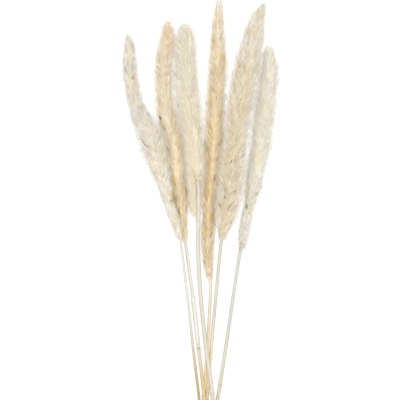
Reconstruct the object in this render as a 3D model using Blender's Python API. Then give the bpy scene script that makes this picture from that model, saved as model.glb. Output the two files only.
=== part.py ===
"""Dried common reed: six plumed stems tied in a bunch that lies on a surface.

The bunch lies along Y, with its plumes towards +Y and its cut ends towards -Y. The surface is z = 0,
and the origin is on it, under the middle of the bunch. Lengths below are in millimetres.

A reed is one smooth route from its cut end to the tip of its plume. The stem is a tapered tube on the
first part of the route, with swollen joints. The plume is a flattened core on the rest of it, whose
surface is pulled out into staggered rows of slim tufts that lean towards the tip. The top of the stem
sits in a socket in the foot of the plume.
"""
import math
import random
from typing import NamedTuple

import bmesh
import bpy
from mathutils import Matrix, Vector
from mathutils.bvhtree import BVHTree

MM = 0.001
UP = Vector((0.0, 0.0, 1.0))
SEED = 1000

# The middle of the finished bunch's box, in the coordinates that the points below are given in
MIDDLE = Vector((0.46, -0.04, 0.0))

# The bunch: where the stems cross, and the two layers that they lie in under the tie
TIE_Y = -193.0
TIE_X = 6.2
STEM_PITCH = 4.4
LOW_LAYER = 3.45
HIGH_LAYER = 7.95
GATHERED_HALF_LENGTH = 9.0
END_Y = -245.0

# Stems
STEM_SIDES = 8
STEM_RING_PITCH = 22.0
STEM_SHARP_ANGLE = 50.0
JOINT_SWELL = 1.28
JOINT_HALF_LENGTH = 2.2
JOINT_TOLERANCE = 0.1
SHEATH_SWELL = 1.2
SHEATH_EDGE = 0.6
BORE_DEPTH = 14.0
BORE_PER_RADIUS = 0.5
SEAT_DEPTH = 12.0
SEAT_TAPER = 0.62
SEAT_GAP = 0.3
SOCKET_WALL = 0.75

# Plumes
FIRST_ROW = 2.0
CORE_PER_WIDTH = 0.5
RACHIS_RADIUS = 1.1
PLUME_FLATNESS = 0.6
TUFT_ROW_PITCH = 5.6
TUFT_RISE = 6.0
TUFT_RISE_PER_WIDTH = 1.1
TUFT_RISE_LEFT = 0.7
TUFT_TIP_SPREAD = (0.86, 1.0)
TUFT_LEAST_OUT = 0.9
TUFT_SIDE_SLIP = 0.14
TUFT_ROW_SLIP = 0.16
TIP_LENGTH = 8.0
COMB_ROUNDS = 40
COMB_STEP = 0.12
BRANCH_SIDES = 6
BRANCH_START = 0.5
BRANCH_RADIUS = 0.7

# Tie: raffia in turns side by side, with a knot on top and two tails
TIE_TURNS = 4
TURN_WIDTH = 2.6
TURN_FLAT_SHARE = 0.56
TIE_THICKNESS = 1.0
TIE_VALLEY = 0.62
TIE_CORNER = 2.4
TIE_CORNER_STEPS = 4
TIE_GAP = 0.35
KNOT_SIZE = (7.0, 6.4, 4.0)
KNOT_RISE = 1.0
KNOT_SEGMENTS = 8
KNOT_RINGS = 6
TAIL_WIDTH = 2.6
TAIL_THICKNESS = 1.26
TAIL_STEPS = 12

# Each tail's way from the knot: across and along from the tie's middle, and height
TAIL_RIGHT = ((5.5, 2.4, 15.2), (10.5, 6.0, 10.6), (13.0, 10.5, 3.2), (15.5, 17.0, 0.6), (18.5, 27.0, 0.5))
TAIL_LEFT = ((-5.5, -2.4, 15.2), (-10.5, -6.0, 10.6), (-13.0, -10.5, 3.2), (-15.0, -17.0, 0.6),
             (-16.5, -29.0, 0.5))


class Colour(NamedTuple):
    """A finish: linear base colour and roughness."""
    red: float
    green: float
    blue: float
    roughness: float


STRAW = Colour(0.80, 0.74, 0.60, 0.55)
RAFFIA = Colour(0.62, 0.46, 0.26, 0.75)
CREAM = Colour(0.76, 0.69, 0.55, 0.95)
TAN = Colour(0.76, 0.64, 0.45, 0.95)
PALE = Colour(0.78, 0.70, 0.55, 0.95)
GOLD = Colour(0.73, 0.58, 0.36, 0.95)
BEIGE = Colour(0.73, 0.63, 0.47, 0.95)
GREY = Colour(0.76, 0.70, 0.57, 0.95)


class Reed(NamedTuple):
    """One reed. Stem points are (x, y, z). Plume and branch points are (x, y, z, half width).

    Joints and the two ends of the sheath are shares of the stem's length below the plume.
    """
    number: int
    colour: Colour
    tufts_round: int
    radius_low: float
    radius_top: float
    joints: tuple
    stem: tuple
    plume: tuple
    branches: tuple = ()
    sheath: tuple = ()


def gathered(column, layer):
    """A stem's two points under the tie: a column from -1.1 to 1, in the low or the high layer."""
    return tuple((TIE_X + column * STEM_PITCH, TIE_Y + along, layer)
                 for along in (-GATHERED_HALF_LENGTH, GATHERED_HALF_LENGTH))


REEDS = (
    Reed(
        number=1, tufts_round=11, colour=CREAM, radius_low=1.5, radius_top=1.25, joints=(0.50,),
        stem=((3.6, END_Y, 7.6), *gathered(-1.1, HIGH_LAYER), (-0.8, -153.0, 8.8),
              (-6.7, -103.0, 10.6), (-12.2, -53.0, 11.8)),
        plume=((-19.2, 4.0, 12.6, 2.0), (-21.0, 11.0, 13.0, 3.1), (-22.9, 19.0, 13.4, 3.9),
               (-27.8, 35.0, 13.8, 4.9), (-32.3, 51.0, 14.2, 5.8), (-36.3, 67.0, 14.8, 7.3),
               (-41.8, 83.0, 15.8, 9.4), (-45.6, 99.0, 16.4, 12.2), (-50.4, 114.0, 14.8, 11.2),
               (-55.2, 123.0, 12.8, 9.6), (-60.4, 131.0, 10.8, 7.4), (-63.6, 142.0, 8.6, 6.6),
               (-67.0, 155.0, 6.6, 6.2), (-69.8, 172.0, 4.8, 6.2), (-70.9, 192.0, 3.6, 5.5),
               (-70.6, 203.0, 3.2, 4.2), (-72.2, 210.0, 3.0, 1.0))),
    Reed(
        number=2, tufts_round=9, colour=TAN, radius_low=1.9, radius_top=1.6, joints=(0.58,),
        stem=((8.8, END_Y + 3.0, 7.6), *gathered(0, HIGH_LAYER), (4.2, -150.0, 8.0),
              (-1.8, -98.0, 8.0), (-6.8, -53.0, 7.2)),
        plume=((-14.2, 1.0, 5.6, 2.4), (-16.3, 12.0, 5.4, 3.9), (-17.8, 24.0, 5.4, 4.9),
               (-19.0, 37.0, 5.4, 6.2), (-19.9, 51.0, 5.4, 7.6), (-22.0, 67.0, 5.6, 8.8),
               (-24.4, 83.0, 5.6, 9.6), (-25.9, 97.0, 5.6, 9.6), (-28.6, 111.0, 5.6, 9.3),
               (-32.3, 125.0, 5.4, 8.3), (-34.6, 139.0, 5.4, 7.9), (-35.9, 155.0, 5.2, 7.9),
               (-36.6, 173.0, 5.0, 7.8), (-35.5, 188.0, 4.8, 7.8), (-33.6, 201.0, 4.5, 7.2),
               (-32.4, 211.0, 4.1, 6.0), (-31.7, 218.0, 3.8, 4.6), (-31.6, 224.0, 3.4, 1.6)),
        sheath=(0.60, 0.80)),
    Reed(
        number=3, tufts_round=11, colour=PALE, radius_low=2.1, radius_top=2.0, joints=(0.36,),
        stem=((13.8, END_Y + 1.0, 7.6), *gathered(1, HIGH_LAYER), (12.8, -153.0, 8.6),
              (6.4, -103.0, 9.4), (0.9, -53.0, 9.2), (-1.9, -3.0, 8.6)),
        plume=((-1.8, 26.0, 8.8, 2.8), (-5.4, 38.0, 9.2, 5.4), (-6.1, 50.0, 9.8, 7.2),
               (-5.7, 62.0, 10.4, 8.5), (-4.8, 77.0, 10.8, 9.6), (-5.4, 91.0, 10.7, 9.8),
               (-7.4, 107.0, 10.4, 10.8), (-10.6, 128.0, 9.0, 11.4), (-12.2, 143.0, 7.9, 11.2),
               (-13.5, 158.0, 7.0, 10.6), (-14.7, 180.0, 6.2, 10.2), (-14.8, 201.0, 5.4, 9.0),
               (-14.7, 214.0, 4.8, 6.7), (-14.4, 222.0, 4.4, 2.4))),
    Reed(
        number=4, tufts_round=8, colour=GOLD, radius_low=1.9, radius_top=1.5, joints=(0.45,),
        stem=((-0.8, END_Y + 4.0, 2.4), *gathered(-1, LOW_LAYER), (3.3, -153.0, 3.6),
              (6.6, -113.0, 4.0), (9.4, -70.0, 4.6)),
        plume=((10.6, -38.0, 4.8, 2.1), (9.4, -28.0, 4.8, 3.1), (8.2, -15.0, 4.8, 4.9),
               (7.9, 5.0, 4.8, 5.7), (8.8, 27.0, 4.8, 6.1), (9.6, 47.0, 4.8, 6.7),
               (11.4, 67.0, 4.8, 7.5), (12.9, 83.0, 4.8, 7.9), (14.2, 102.0, 4.8, 8.3),
               (15.3, 139.0, 4.8, 8.3), (16.8, 162.0, 4.5, 8.2), (18.0, 186.0, 3.9, 7.8),
               (18.1, 205.0, 3.5, 6.3), (18.1, 219.0, 3.2, 5.1), (18.9, 233.0, 2.9, 4.0),
               (19.1, 245.0, 2.6, 1.8)),
        branches=(((11.0, 75.0, 4.0, 2.0), (7.0, 91.0, 2.8, 2.4), (5.2, 105.0, 2.2, 0.6)),)),
    Reed(
        number=5, tufts_round=12, colour=BEIGE, radius_low=1.8, radius_top=1.6, joints=(0.40,),
        stem=((5.2, END_Y, 2.4), *gathered(0, LOW_LAYER), (7.1, -153.0, 3.5),
              (11.2, -103.0, 4.6), (15.6, -53.0, 7.0)),
        plume=((20.8, 2.0, 10.6, 2.4), (22.2, 10.0, 11.6, 3.8), (24.1, 23.0, 12.8, 7.8),
               (26.4, 35.0, 14.0, 10.8), (27.8, 47.0, 14.2, 12.0), (29.8, 58.0, 14.4, 12.8),
               (31.8, 73.0, 14.4, 12.4), (33.4, 95.0, 13.8, 11.7), (36.8, 120.0, 12.4, 11.5),
               (38.9, 136.0, 11.4, 11.6), (41.4, 150.0, 10.4, 11.8), (44.8, 165.0, 9.4, 11.9),
               (49.2, 187.0, 8.0, 11.4), (53.7, 209.0, 6.8, 9.4), (57.5, 227.0, 5.6, 7.0),
               (61.6, 236.0, 5.0, 4.7), (63.3, 242.0, 4.6, 2.2))),
    Reed(
        number=6, tufts_round=10, colour=GREY, radius_low=1.9, radius_top=1.7, joints=(0.44,),
        stem=((11.0, END_Y + 2.5, 2.4), *gathered(0.92, LOW_LAYER), (17.6, -153.0, 3.6),
              (25.5, -103.0, 4.2), (32.8, -53.0, 4.8)),
        plume=((40.0, -6.0, 5.2, 2.4), (42.4, 2.0, 5.0, 4.1), (44.1, 14.0, 4.8, 4.9),
               (46.0, 25.0, 4.8, 4.9), (47.2, 33.0, 4.8, 4.4), (49.8, 43.0, 5.2, 5.1),
               (53.6, 61.0, 5.8, 7.8), (56.7, 81.0, 5.9, 8.3), (59.3, 93.0, 6.0, 8.7),
               (61.2, 104.0, 6.0, 9.1), (62.9, 120.0, 6.0, 9.8), (65.0, 137.0, 5.8, 9.6),
               (66.9, 150.0, 5.6, 9.2), (68.8, 165.0, 5.2, 8.5), (69.8, 179.0, 4.8, 7.5),
               (69.5, 187.0, 4.4, 5.8), (69.4, 195.0, 4.0, 3.4), (69.5, 200.0, 3.6, 1.4))),
)


def clear_scene():
    """Remove every object that the scene starts with."""
    for old in list(bpy.data.objects):
        bpy.data.objects.remove(old, do_unlink=True)


def make_material(name, colour):
    """A Principled material in one colour."""
    material = bpy.data.materials.new(name)
    material.use_nodes = True
    shader = material.node_tree.nodes["Principled BSDF"]
    shader.inputs["Base Color"].default_value = (colour.red, colour.green, colour.blue, 1.0)
    shader.inputs["Roughness"].default_value = colour.roughness
    shader.inputs["Metallic"].default_value = 0.0
    return material


class Route:
    """A smooth curve through hand-placed points, with places on it given by their length along it."""

    STEPS = 16
    LOOK = 2.0

    def __init__(self, points):
        knots = [Vector(point[:3]) for point in points]
        before = knots[0] * 2 - knots[1]
        after = knots[-1] * 2 - knots[-2]
        padded = [before, *knots, after]
        self.points = [knots[0]]
        self.lengths = [0.0]
        self.knot_lengths = [0.0]
        for i in range(1, len(padded) - 2):
            for step in range(1, self.STEPS + 1):
                point = self.between(padded[i - 1:i + 3], step / self.STEPS)
                self.lengths.append(self.lengths[-1] + (point - self.points[-1]).length)
                self.points.append(point)
            self.knot_lengths.append(self.lengths[-1])
        self.length = self.lengths[-1]

    @staticmethod
    def between(four, t):
        """The Catmull-Rom curve between the second and third of four points."""
        a, b, c, d = four
        return 0.5 * (2 * b + (c - a) * t + (2 * a - 5 * b + 4 * c - d) * t ** 2
                      + (3 * b - a - 3 * c + d) * t ** 3)

    def at(self, place):
        """The point at a length along the route."""
        place = min(max(place, 0.0), self.length)
        i = 1
        while self.lengths[i] < place:
            i += 1
        share = (place - self.lengths[i - 1]) / (self.lengths[i] - self.lengths[i - 1])
        return self.points[i - 1].lerp(self.points[i], share)

    def frame(self, place):
        """The directions across the route, level, and up from it."""
        along = (self.at(place + self.LOOK) - self.at(place - self.LOOK)).normalized()
        across = along.cross(UP).normalized()
        return across, across.cross(along)

    def beside(self, place, half_width, half_height, share):
        """A point on an ellipse round the route, at a share of a full turn."""
        across, up = self.frame(place)
        turn = 2 * math.pi * share
        return self.at(place) + across * half_width * math.cos(turn) + up * half_height * math.sin(turn)

    def ring(self, place, half_width, half_height, sides, shift=0.5):
        """An elliptical ring of points round the route, turned by a shift in sides."""
        return [self.beside(place, half_width, half_height, (k + shift) / sides) for k in range(sides)]


def read_along(place, places, values):
    """The value at a length along a route, straight between the given ones."""
    for i in range(1, len(places)):
        if place <= places[i]:
            share = (place - places[i - 1]) / (places[i] - places[i - 1])
            return values[i - 1] + (values[i] - values[i - 1]) * max(share, 0.0)
    return values[-1]


def add_loft(bm, rings, closed=False):
    """Skin a row of rings, capped at both ends unless the row is closed on itself."""
    rows = [[bm.verts.new(point) for point in ring] for ring in rings]
    count = len(rows)
    for i in range(count if closed else count - 1):
        low, high = rows[i], rows[(i + 1) % count]
        for k in range(len(low)):
            after = (k + 1) % len(low)
            bm.faces.new((low[k], high[k], high[after], low[after]))
    if not closed:
        bm.faces.new(rows[0])
        bm.faces.new(list(reversed(rows[-1])))


def finish_object(name, bm, material=None):
    """Turn a bmesh in millimetres into an object in the scene, with its faces pointing out."""
    bmesh.ops.recalc_face_normals(bm, faces=bm.faces)
    bmesh.ops.triangulate(bm, faces=bm.faces)
    mesh = bpy.data.meshes.new(name)
    bm.to_mesh(mesh)
    bm.free()
    mesh.transform(Matrix.Scale(MM, 4) @ Matrix.Translation(-MIDDLE))
    obj = bpy.data.objects.new(name, mesh)
    bpy.context.scene.collection.objects.link(obj)
    if material:
        mesh.materials.append(material)
    return obj


def fuse(target, repeats):
    """Join loose repeats to a target in one body by one Boolean union."""
    collection = bpy.data.collections.new(target.name + "_repeats")
    bpy.context.scene.collection.children.link(collection)
    for piece in repeats:
        bpy.context.scene.collection.objects.unlink(piece)
        collection.objects.link(piece)
    union = target.modifiers.new("Union", "BOOLEAN")
    union.operation = "UNION"
    union.operand_type = "COLLECTION"
    union.collection = collection
    union.solver = "EXACT"
    graph = bpy.context.evaluated_depsgraph_get()
    fused = bpy.data.meshes.new_from_object(target.evaluated_get(graph))
    target.modifiers.remove(union)
    target.data = fused
    for piece in repeats:
        bpy.data.objects.remove(piece, do_unlink=True)
    bpy.data.collections.remove(collection)


def stem_radius(reed, place, joint_places, seat_place, top):
    """The stem's radius at a length along it: slow taper, swollen joints, sheath, seat."""
    radius = reed.radius_low + (reed.radius_top - reed.radius_low) * place / seat_place
    if reed.sheath and reed.sheath[0] * seat_place <= place <= reed.sheath[1] * seat_place:
        radius *= SHEATH_SWELL
    for joint in joint_places:
        if abs(place - joint) < JOINT_TOLERANCE:
            radius *= JOINT_SWELL
    if place > seat_place:
        radius *= 1.0 + (SEAT_TAPER - 1.0) * (place - seat_place) / (top - seat_place)
    return radius


def build_stem(reed, route, seat_place, material):
    """A stem: a bored cut end, the tapered tube with its joints, and the seat in the plume."""
    top = seat_place + SEAT_DEPTH - SEAT_GAP
    joint_places = [share * seat_place for share in reed.joints]
    steps = round(seat_place / STEM_RING_PITCH)
    places = [seat_place * k / steps for k in range(steps + 1)]
    for joint in joint_places:
        places += [joint - JOINT_HALF_LENGTH, joint, joint + JOINT_HALF_LENGTH]
    if reed.sheath:
        for share in reed.sheath:
            places += [share * seat_place - SHEATH_EDGE, share * seat_place]
    places = sorted(set(places) | {top, seat_place + SEAT_DEPTH / 2})
    bore = reed.radius_low * BORE_PER_RADIUS
    rings = [route.ring(BORE_DEPTH, bore, bore, STEM_SIDES), route.ring(0.0, bore, bore, STEM_SIDES)]
    for place in places:
        radius = stem_radius(reed, place, joint_places, seat_place, top)
        rings.append(route.ring(place, radius, radius, STEM_SIDES))
    bm = bmesh.new()
    add_loft(bm, rings)
    stem = finish_object(f"stem_{reed.number}", bm, material)
    stem.data.shade_smooth()
    stem.data.set_sharp_from_angle(angle=math.radians(STEM_SHARP_ANGLE))


def comb(bm, roots):
    """Draw back each tuft that cuts into another, a little at a time, until none does."""
    for _ in range(COMB_ROUNDS):
        bm.faces.ensure_lookup_table()
        tree = BVHTree.FromBMesh(bm)
        crossed = set()
        for i, j in tree.overlap(tree):
            first, second = bm.faces[i].verts, bm.faces[j].verts
            if i < j and not set(first) & set(second):
                crossed.update(vert for vert in (*first, *second) if vert in roots)
        if not crossed:
            return
        for vert in crossed:
            vert.co = vert.co.lerp(roots[vert], COMB_STEP)


def tufted_body(bm, route, places, widths, start, sides, rng, least_core, foot_rings=()):
    """A core from a start to the route's end, each cell of whose surface is pulled out into a tuft.

    Each ring is turned by half a cell from the one before, so the tufts stand in staggered rows.
    """
    end = route.length - TIP_LENGTH
    rows = round((end - start) / TUFT_ROW_PITCH)
    pitch = (end - start) / rows

    def core(place):
        """The core's half width and half height, which shrink to nothing at the tip."""
        inside = min(place, end)
        left = min(1.0, max(0.0, (route.length - place) / TIP_LENGTH))
        width = max(read_along(inside, places, widths) * CORE_PER_WIDTH, least_core(inside))
        return width * left, max(width * PLUME_FLATNESS, least_core(inside)) * left

    rings = [list(ring) for ring in foot_rings]
    for row in range(rows + 1):
        place = start + row * pitch
        rings.append(route.ring(place, *core(place), sides, 0.5 + row / 2))
    verts = [[bm.verts.new(point) for point in ring] for ring in rings]
    bm.faces.new(verts[0])
    for i in range(len(foot_rings)):
        for k in range(sides):
            after = (k + 1) % sides
            bm.faces.new((verts[i][k], verts[i + 1][k], verts[i + 1][after], verts[i][after]))
    roots = {}
    for row in range(rows):
        low, high = verts[len(foot_rings) + row], verts[len(foot_rings) + row + 1]
        place = start + (row + 0.5) * pitch
        rise = TUFT_RISE + TUFT_RISE_PER_WIDTH * read_along(place, places, widths)
        rise = min(rise, (route.length - place) * TUFT_RISE_LEFT)
        for k in range(sides):
            tip_place = place + rise + rng.uniform(-TUFT_ROW_SLIP, TUFT_ROW_SLIP) * pitch
            reach = read_along(tip_place, places, widths) * rng.uniform(*TUFT_TIP_SPREAD)
            share = (k + 1.25 + row / 2 + rng.uniform(-TUFT_SIDE_SLIP, TUFT_SIDE_SLIP)) / sides
            inner = core(tip_place)
            tip = route.beside(tip_place, max(reach, inner[0] + TUFT_LEAST_OUT),
                               max(reach * PLUME_FLATNESS, inner[1] + TUFT_LEAST_OUT), share)
            tip.z = max(tip.z, 0.0)
            top = bm.verts.new(tip)
            after = (k + 1) % sides
            cell = (low[k], high[k], high[after], low[after])
            roots[top] = sum((vert.co for vert in cell), Vector()) / 4
            for j in range(4):
                bm.faces.new((cell[j], cell[(j + 1) % 4], top))
    point = bm.verts.new(route.at(route.length))
    for k in range(sides):
        bm.faces.new((verts[-1][k], point, verts[-1][(k + 1) % sides]))
    bmesh.ops.triangulate(bm, faces=bm.faces)
    comb(bm, roots)


def build_plume(reed, route, seat_place, material):
    """A plume: a tufted core with a socket for the stem in its foot, and any side branches."""
    name = f"plume_{reed.number}"
    rng = random.Random(SEED + reed.number)
    sides = reed.tufts_round
    places = route.knot_lengths[len(reed.stem):]
    widths = [point[3] for point in reed.plume]
    round_out = 1.0 / math.cos(math.pi / sides)

    def socket(place):
        """The socket's radius at a length along the route."""
        share = min(max((place - seat_place) / SEAT_DEPTH, 0.0), 1.0)
        return (reed.radius_top * (1.0 + (SEAT_TAPER - 1.0) * share) + SEAT_GAP) * round_out

    def least_core(place):
        """The core's least radius: the rachis, or the wall round the socket."""
        if place > seat_place + SEAT_DEPTH + SOCKET_WALL:
            return RACHIS_RADIUS
        return socket(place) + SOCKET_WALL

    foot = socket(seat_place) + SOCKET_WALL
    places_inside = (seat_place + SEAT_DEPTH, seat_place + SEAT_DEPTH / 2, seat_place)
    foot_rings = [route.ring(place, socket(place), socket(place), sides) for place in places_inside]
    foot_rings.append(route.ring(seat_place, foot, foot, sides))
    bm = bmesh.new()
    tufted_body(bm, route, places, widths, seat_place + FIRST_ROW, sides, rng, least_core, foot_rings)
    plume = finish_object(name, bm, material)
    branches = []
    for number, points in enumerate(reed.branches):
        branch = Route(points)
        branch_widths = [point[3] for point in points]
        bm = bmesh.new()
        tufted_body(bm, branch, branch.knot_lengths, branch_widths, BRANCH_START, BRANCH_SIDES, rng,
                    lambda place: BRANCH_RADIUS)
        branches.append(finish_object(f"{name}_branch_{number}", bm))
    if branches:
        fuse(plume, branches)


def rounded_loop(half_x, half_z):
    """Points round a rectangle with round corners in the XZ plane, with the way out at each."""
    loop = []
    for quarter in range(4):
        middle = math.pi / 4 + quarter * math.pi / 2
        corner = Vector((math.copysign(half_x - TIE_CORNER, math.cos(middle)), 0.0,
                         math.copysign(half_z - TIE_CORNER, math.sin(middle))))
        for step in range(TIE_CORNER_STEPS + 1):
            turn = (quarter + step / TIE_CORNER_STEPS) * math.pi / 2
            out = Vector((math.cos(turn), 0.0, math.sin(turn)))
            loop.append((corner + out * TIE_CORNER, out))
    return loop


def band_rings(centre, half_x, half_z):
    """The rings of the band: raffia turns side by side, each with a flat crest."""
    half_band = TIE_TURNS * TURN_WIDTH / 2
    profile = [(-half_band, 0.0), (-half_band, TIE_VALLEY)]
    for turn in range(TIE_TURNS):
        middle = (turn + 0.5) * TURN_WIDTH - half_band
        profile.append((middle - TURN_WIDTH * TURN_FLAT_SHARE / 2, TIE_THICKNESS))
        profile.append((middle + TURN_WIDTH * TURN_FLAT_SHARE / 2, TIE_THICKNESS))
        profile.append((middle + TURN_WIDTH / 2, TIE_VALLEY))
    profile.append((half_band, 0.0))
    return [[centre + point + out * height + Vector((0.0, along, 0.0)) for along, height in profile]
            for point, out in rounded_loop(half_x, half_z)]


def tail_rings(knot, points):
    """The rings of a flat tail from the knot to the surface."""
    route = Route((knot, *(Vector((TIE_X + x, TIE_Y + y, z)) for x, y, z in points)))
    rings = [route.ring(route.length * k / TAIL_STEPS, TAIL_WIDTH / 2, TAIL_THICKNESS / 2, 4)
             for k in range(TAIL_STEPS + 1)]
    for point in (point for ring in rings for point in ring):
        point.z = max(point.z, 0.0)
    return rings


def build_tie(material):
    """The tie: turns of raffia round the stems, a knot on top and two tails to the surface."""
    widest = max(reed.radius_low for reed in REEDS)
    half_x = STEM_PITCH + widest + TIE_GAP
    half_z = (HIGH_LAYER - LOW_LAYER) / 2 + widest + TIE_GAP
    centre = Vector((TIE_X, TIE_Y, (HIGH_LAYER + LOW_LAYER) / 2))
    bm = bmesh.new()
    add_loft(bm, band_rings(centre, half_x, half_z), closed=True)
    tie = finish_object("tie", bm, material)
    knot = centre + Vector((0.0, 0.0, half_z + TIE_THICKNESS + KNOT_RISE))
    bm = bmesh.new()
    bmesh.ops.create_uvsphere(bm, u_segments=KNOT_SEGMENTS, v_segments=KNOT_RINGS, radius=0.5)
    bmesh.ops.scale(bm, vec=KNOT_SIZE, verts=bm.verts)
    bmesh.ops.translate(bm, vec=knot, verts=bm.verts)
    repeats = [finish_object("tie_knot", bm)]
    for name, points in (("tie_tail_right", TAIL_RIGHT), ("tie_tail_left", TAIL_LEFT)):
        bm = bmesh.new()
        add_loft(bm, tail_rings(knot, points))
        repeats.append(finish_object(name, bm))
    fuse(tie, repeats)


def build():
    """Make the whole bunch."""
    clear_scene()
    straw = make_material("dried_culm_straw", STRAW)
    build_tie(make_material("raffia", RAFFIA))
    for reed in REEDS:
        route = Route((*reed.stem, *reed.plume))
        seat_place = route.knot_lengths[len(reed.stem)]
        build_stem(reed, route, seat_place, straw)
        build_plume(reed, route, seat_place, make_material(f"plume_{reed.number}_fluff", reed.colour))


build()
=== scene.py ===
# %% [markdown]
# Dried common reed. Six reeds lie on a light table, tied in a loose bunch: six soft plumes that fan out
# from thin straw-coloured stems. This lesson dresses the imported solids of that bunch. The solids have the
# true places and sizes, so every piece made here follows the same lines and stands for one of them.

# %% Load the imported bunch
import math
from typing import NamedTuple

import bpy
import numpy as np
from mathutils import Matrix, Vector


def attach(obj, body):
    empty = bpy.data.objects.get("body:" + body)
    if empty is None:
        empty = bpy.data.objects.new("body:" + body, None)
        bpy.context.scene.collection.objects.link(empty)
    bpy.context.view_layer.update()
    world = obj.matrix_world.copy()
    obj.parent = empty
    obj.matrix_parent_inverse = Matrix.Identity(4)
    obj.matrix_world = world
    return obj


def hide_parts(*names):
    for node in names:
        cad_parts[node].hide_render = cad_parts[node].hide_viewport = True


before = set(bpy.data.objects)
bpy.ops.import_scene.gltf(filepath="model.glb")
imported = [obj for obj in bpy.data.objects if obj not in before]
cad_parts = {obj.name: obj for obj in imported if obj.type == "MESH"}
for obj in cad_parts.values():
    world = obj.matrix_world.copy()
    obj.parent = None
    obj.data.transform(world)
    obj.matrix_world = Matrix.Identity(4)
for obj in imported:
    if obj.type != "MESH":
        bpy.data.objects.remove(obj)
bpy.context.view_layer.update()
print("nodes:", sorted(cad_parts))

# %% [markdown]
# Lengths are easiest to read in millimetres, so everything is worked out in millimetres and shrunk to
# metres when a mesh is made. The points of the reeds below are counted from a point near the middle of the
# plumes, and MIDDLE is the middle of the whole bunch counted from there. FLOOR_GAP keeps the lowest hairs
# just over the table top, where they would otherwise lie in it.

# %% Units
MM = 0.001
MIDDLE = np.array((0.46, -0.04, 0.0))
UP = np.array((0.0, 0.0, 1.0))
FLOOR_GAP = 0.12


def to_metres(points):
    """Move points in millimetres to the bunch's own frame, in metres, with none under the table top."""
    placed = np.asarray(points, float) - MIDDLE
    placed[..., 2] = np.maximum(placed[..., 2], FLOOR_GAP)
    return placed * MM


print("the middle of the bunch comes out at", to_metres(MIDDLE), "m")

# %% [markdown]
# Colours are written as sRGB hex values, as a paint program shows them, but the shaders want linear values.
# One function turns the first into the second. Another adds a node to a material: it sets the node's own
# settings, then gives each socket a value or a link, so a whole material stays easy to read. A Mix node has
# sockets for numbers, vectors and colours in one long row, and the names below give the places of those
# that mix colours. What is the same all over a material is its finish, and it goes straight onto the
# shader's own sockets.

# %% Colour and node helpers
SHARE, UNDER, OVER, MIXED = 0, 6, 7, 2


def colour(code):
    """A linear RGBA colour from an sRGB hex value."""
    parts = [int(code[i:i + 2], 16) / 255 for i in (1, 3, 5)]
    return (*(c / 12.92 if c <= 0.04045 else ((c + 0.055) / 1.055) ** 2.4 for c in parts), 1.0)


def add_node(tree, kind, settings=None, sockets=None, stops=()):
    """Add a node with its settings, its sockets (a value, or an output to link) and its colour stops."""
    node = tree.nodes.new(kind)
    for name, value in (settings or {}).items():
        setattr(node, name, value)
    for key, value in (sockets or {}).items():
        if isinstance(value, bpy.types.NodeSocket):
            tree.links.new(value, node.inputs[key])
        else:
            node.inputs[key].default_value = value
    for number, (position, code) in enumerate(stops):
        elements = node.color_ramp.elements
        stop = elements[number] if number < 2 else elements.new(position)
        stop.position = position
        stop.color = colour(code)
    return node


def new_material(name, finish):
    """A Principled material with its finish set: the material, its node tree and its shader."""
    material = bpy.data.materials.new(name)
    material.use_nodes = True
    shader = material.node_tree.nodes["Principled BSDF"]
    for socket, value in finish.items():
        shader.inputs[socket].default_value = value
    return material, material.node_tree, shader


print("straw as linear light:", [round(part, 3) for part in colour("#e6d3ae")])

# %% [markdown]
# The bunch lies down, so the camera looks straight down on it, as in the photograph. The photograph is
# square and shows 400 mm at the height of the plumes. A long lens from far away keeps the plumes nearest to
# the camera from growing. A camera with no perspective would do so fully, but then the picture would look
# less like a photograph. The picture's middle is a little up the bunch, so the ends of the stems and their
# tie lie below its lower edge.

# %% Camera
PICTURE_WIDTH = 400.0
PICTURE_MIDDLE = np.array((0.0, 47.0, 8.0))
LENS = 200.0
SENSOR = 36.0

camera_data = bpy.data.cameras.new("camera")
camera_data.lens = LENS
camera_data.sensor_width = SENSOR
camera = bpy.data.objects.new("camera", camera_data)
bpy.context.scene.collection.objects.link(camera)
camera.location = to_metres(PICTURE_MIDDLE + UP * PICTURE_WIDTH * LENS / SENSOR)
bpy.context.scene.camera = camera
print("camera height:", round(camera.location.z, 3), "m")

# %% [markdown]
# A photographer's light table gives the plain bright ground of the photograph: its opal top glows, so the
# shadows round the soft edges stay faint. A bright sky alone could give the ground too, but then nothing
# would catch a shadow at all. The table is one big square that belongs to the stage, not to the bunch.

# %% Light table
TABLE_SIZE = 16.0
# Opal acrylic, cast and ground matt: it gives the eye an even white with no reflections of the lamps.
OPAL_ACRYLIC = {"Base Color": colour("#6c6c6c"), "Roughness": 0.9, "Specular IOR Level": 0.2,
                "Emission Color": colour("#ffffff"), "Emission Strength": 0.88}

half_table = TABLE_SIZE / 2
table_mesh = bpy.data.meshes.new("table_top")
table_mesh.from_pydata([(-half_table, -half_table, 0.0), (half_table, -half_table, 0.0),
                        (half_table, half_table, 0.0), (-half_table, half_table, 0.0)], [], [(0, 1, 2, 3)])
table_top = bpy.data.objects.new("table_top", table_mesh)
bpy.context.scene.collection.objects.link(table_top)
table_mesh.materials.append(new_material("opal_acrylic_light_table", OPAL_ACRYLIC)[0])
print("light table:", TABLE_SIZE, "m wide")

# %% [markdown]
# The light comes from three lamps and a pale sky. Two big lamps at the sides light the flanks of the
# plumes, and one above the camera reaches down between them. The sky fills what is left, so that a plume is
# about equally bright from side to side. Each lamp is given by where it stands, in metres, and its power in
# watts. The plain display transform is used because the usual film-like one would turn the white table
# grey.

# %% Sky and lamps
SKY_LIGHT = 0.62
LAMP_SIZE = 1.2
LAMPS = ((Vector((-1.15, 0.3, 1.45)), 14.0), (Vector((1.15, 0.3, 1.45)), 14.0),
         (Vector((0.0, 0.1, 2.6)), 28.0))

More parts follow.
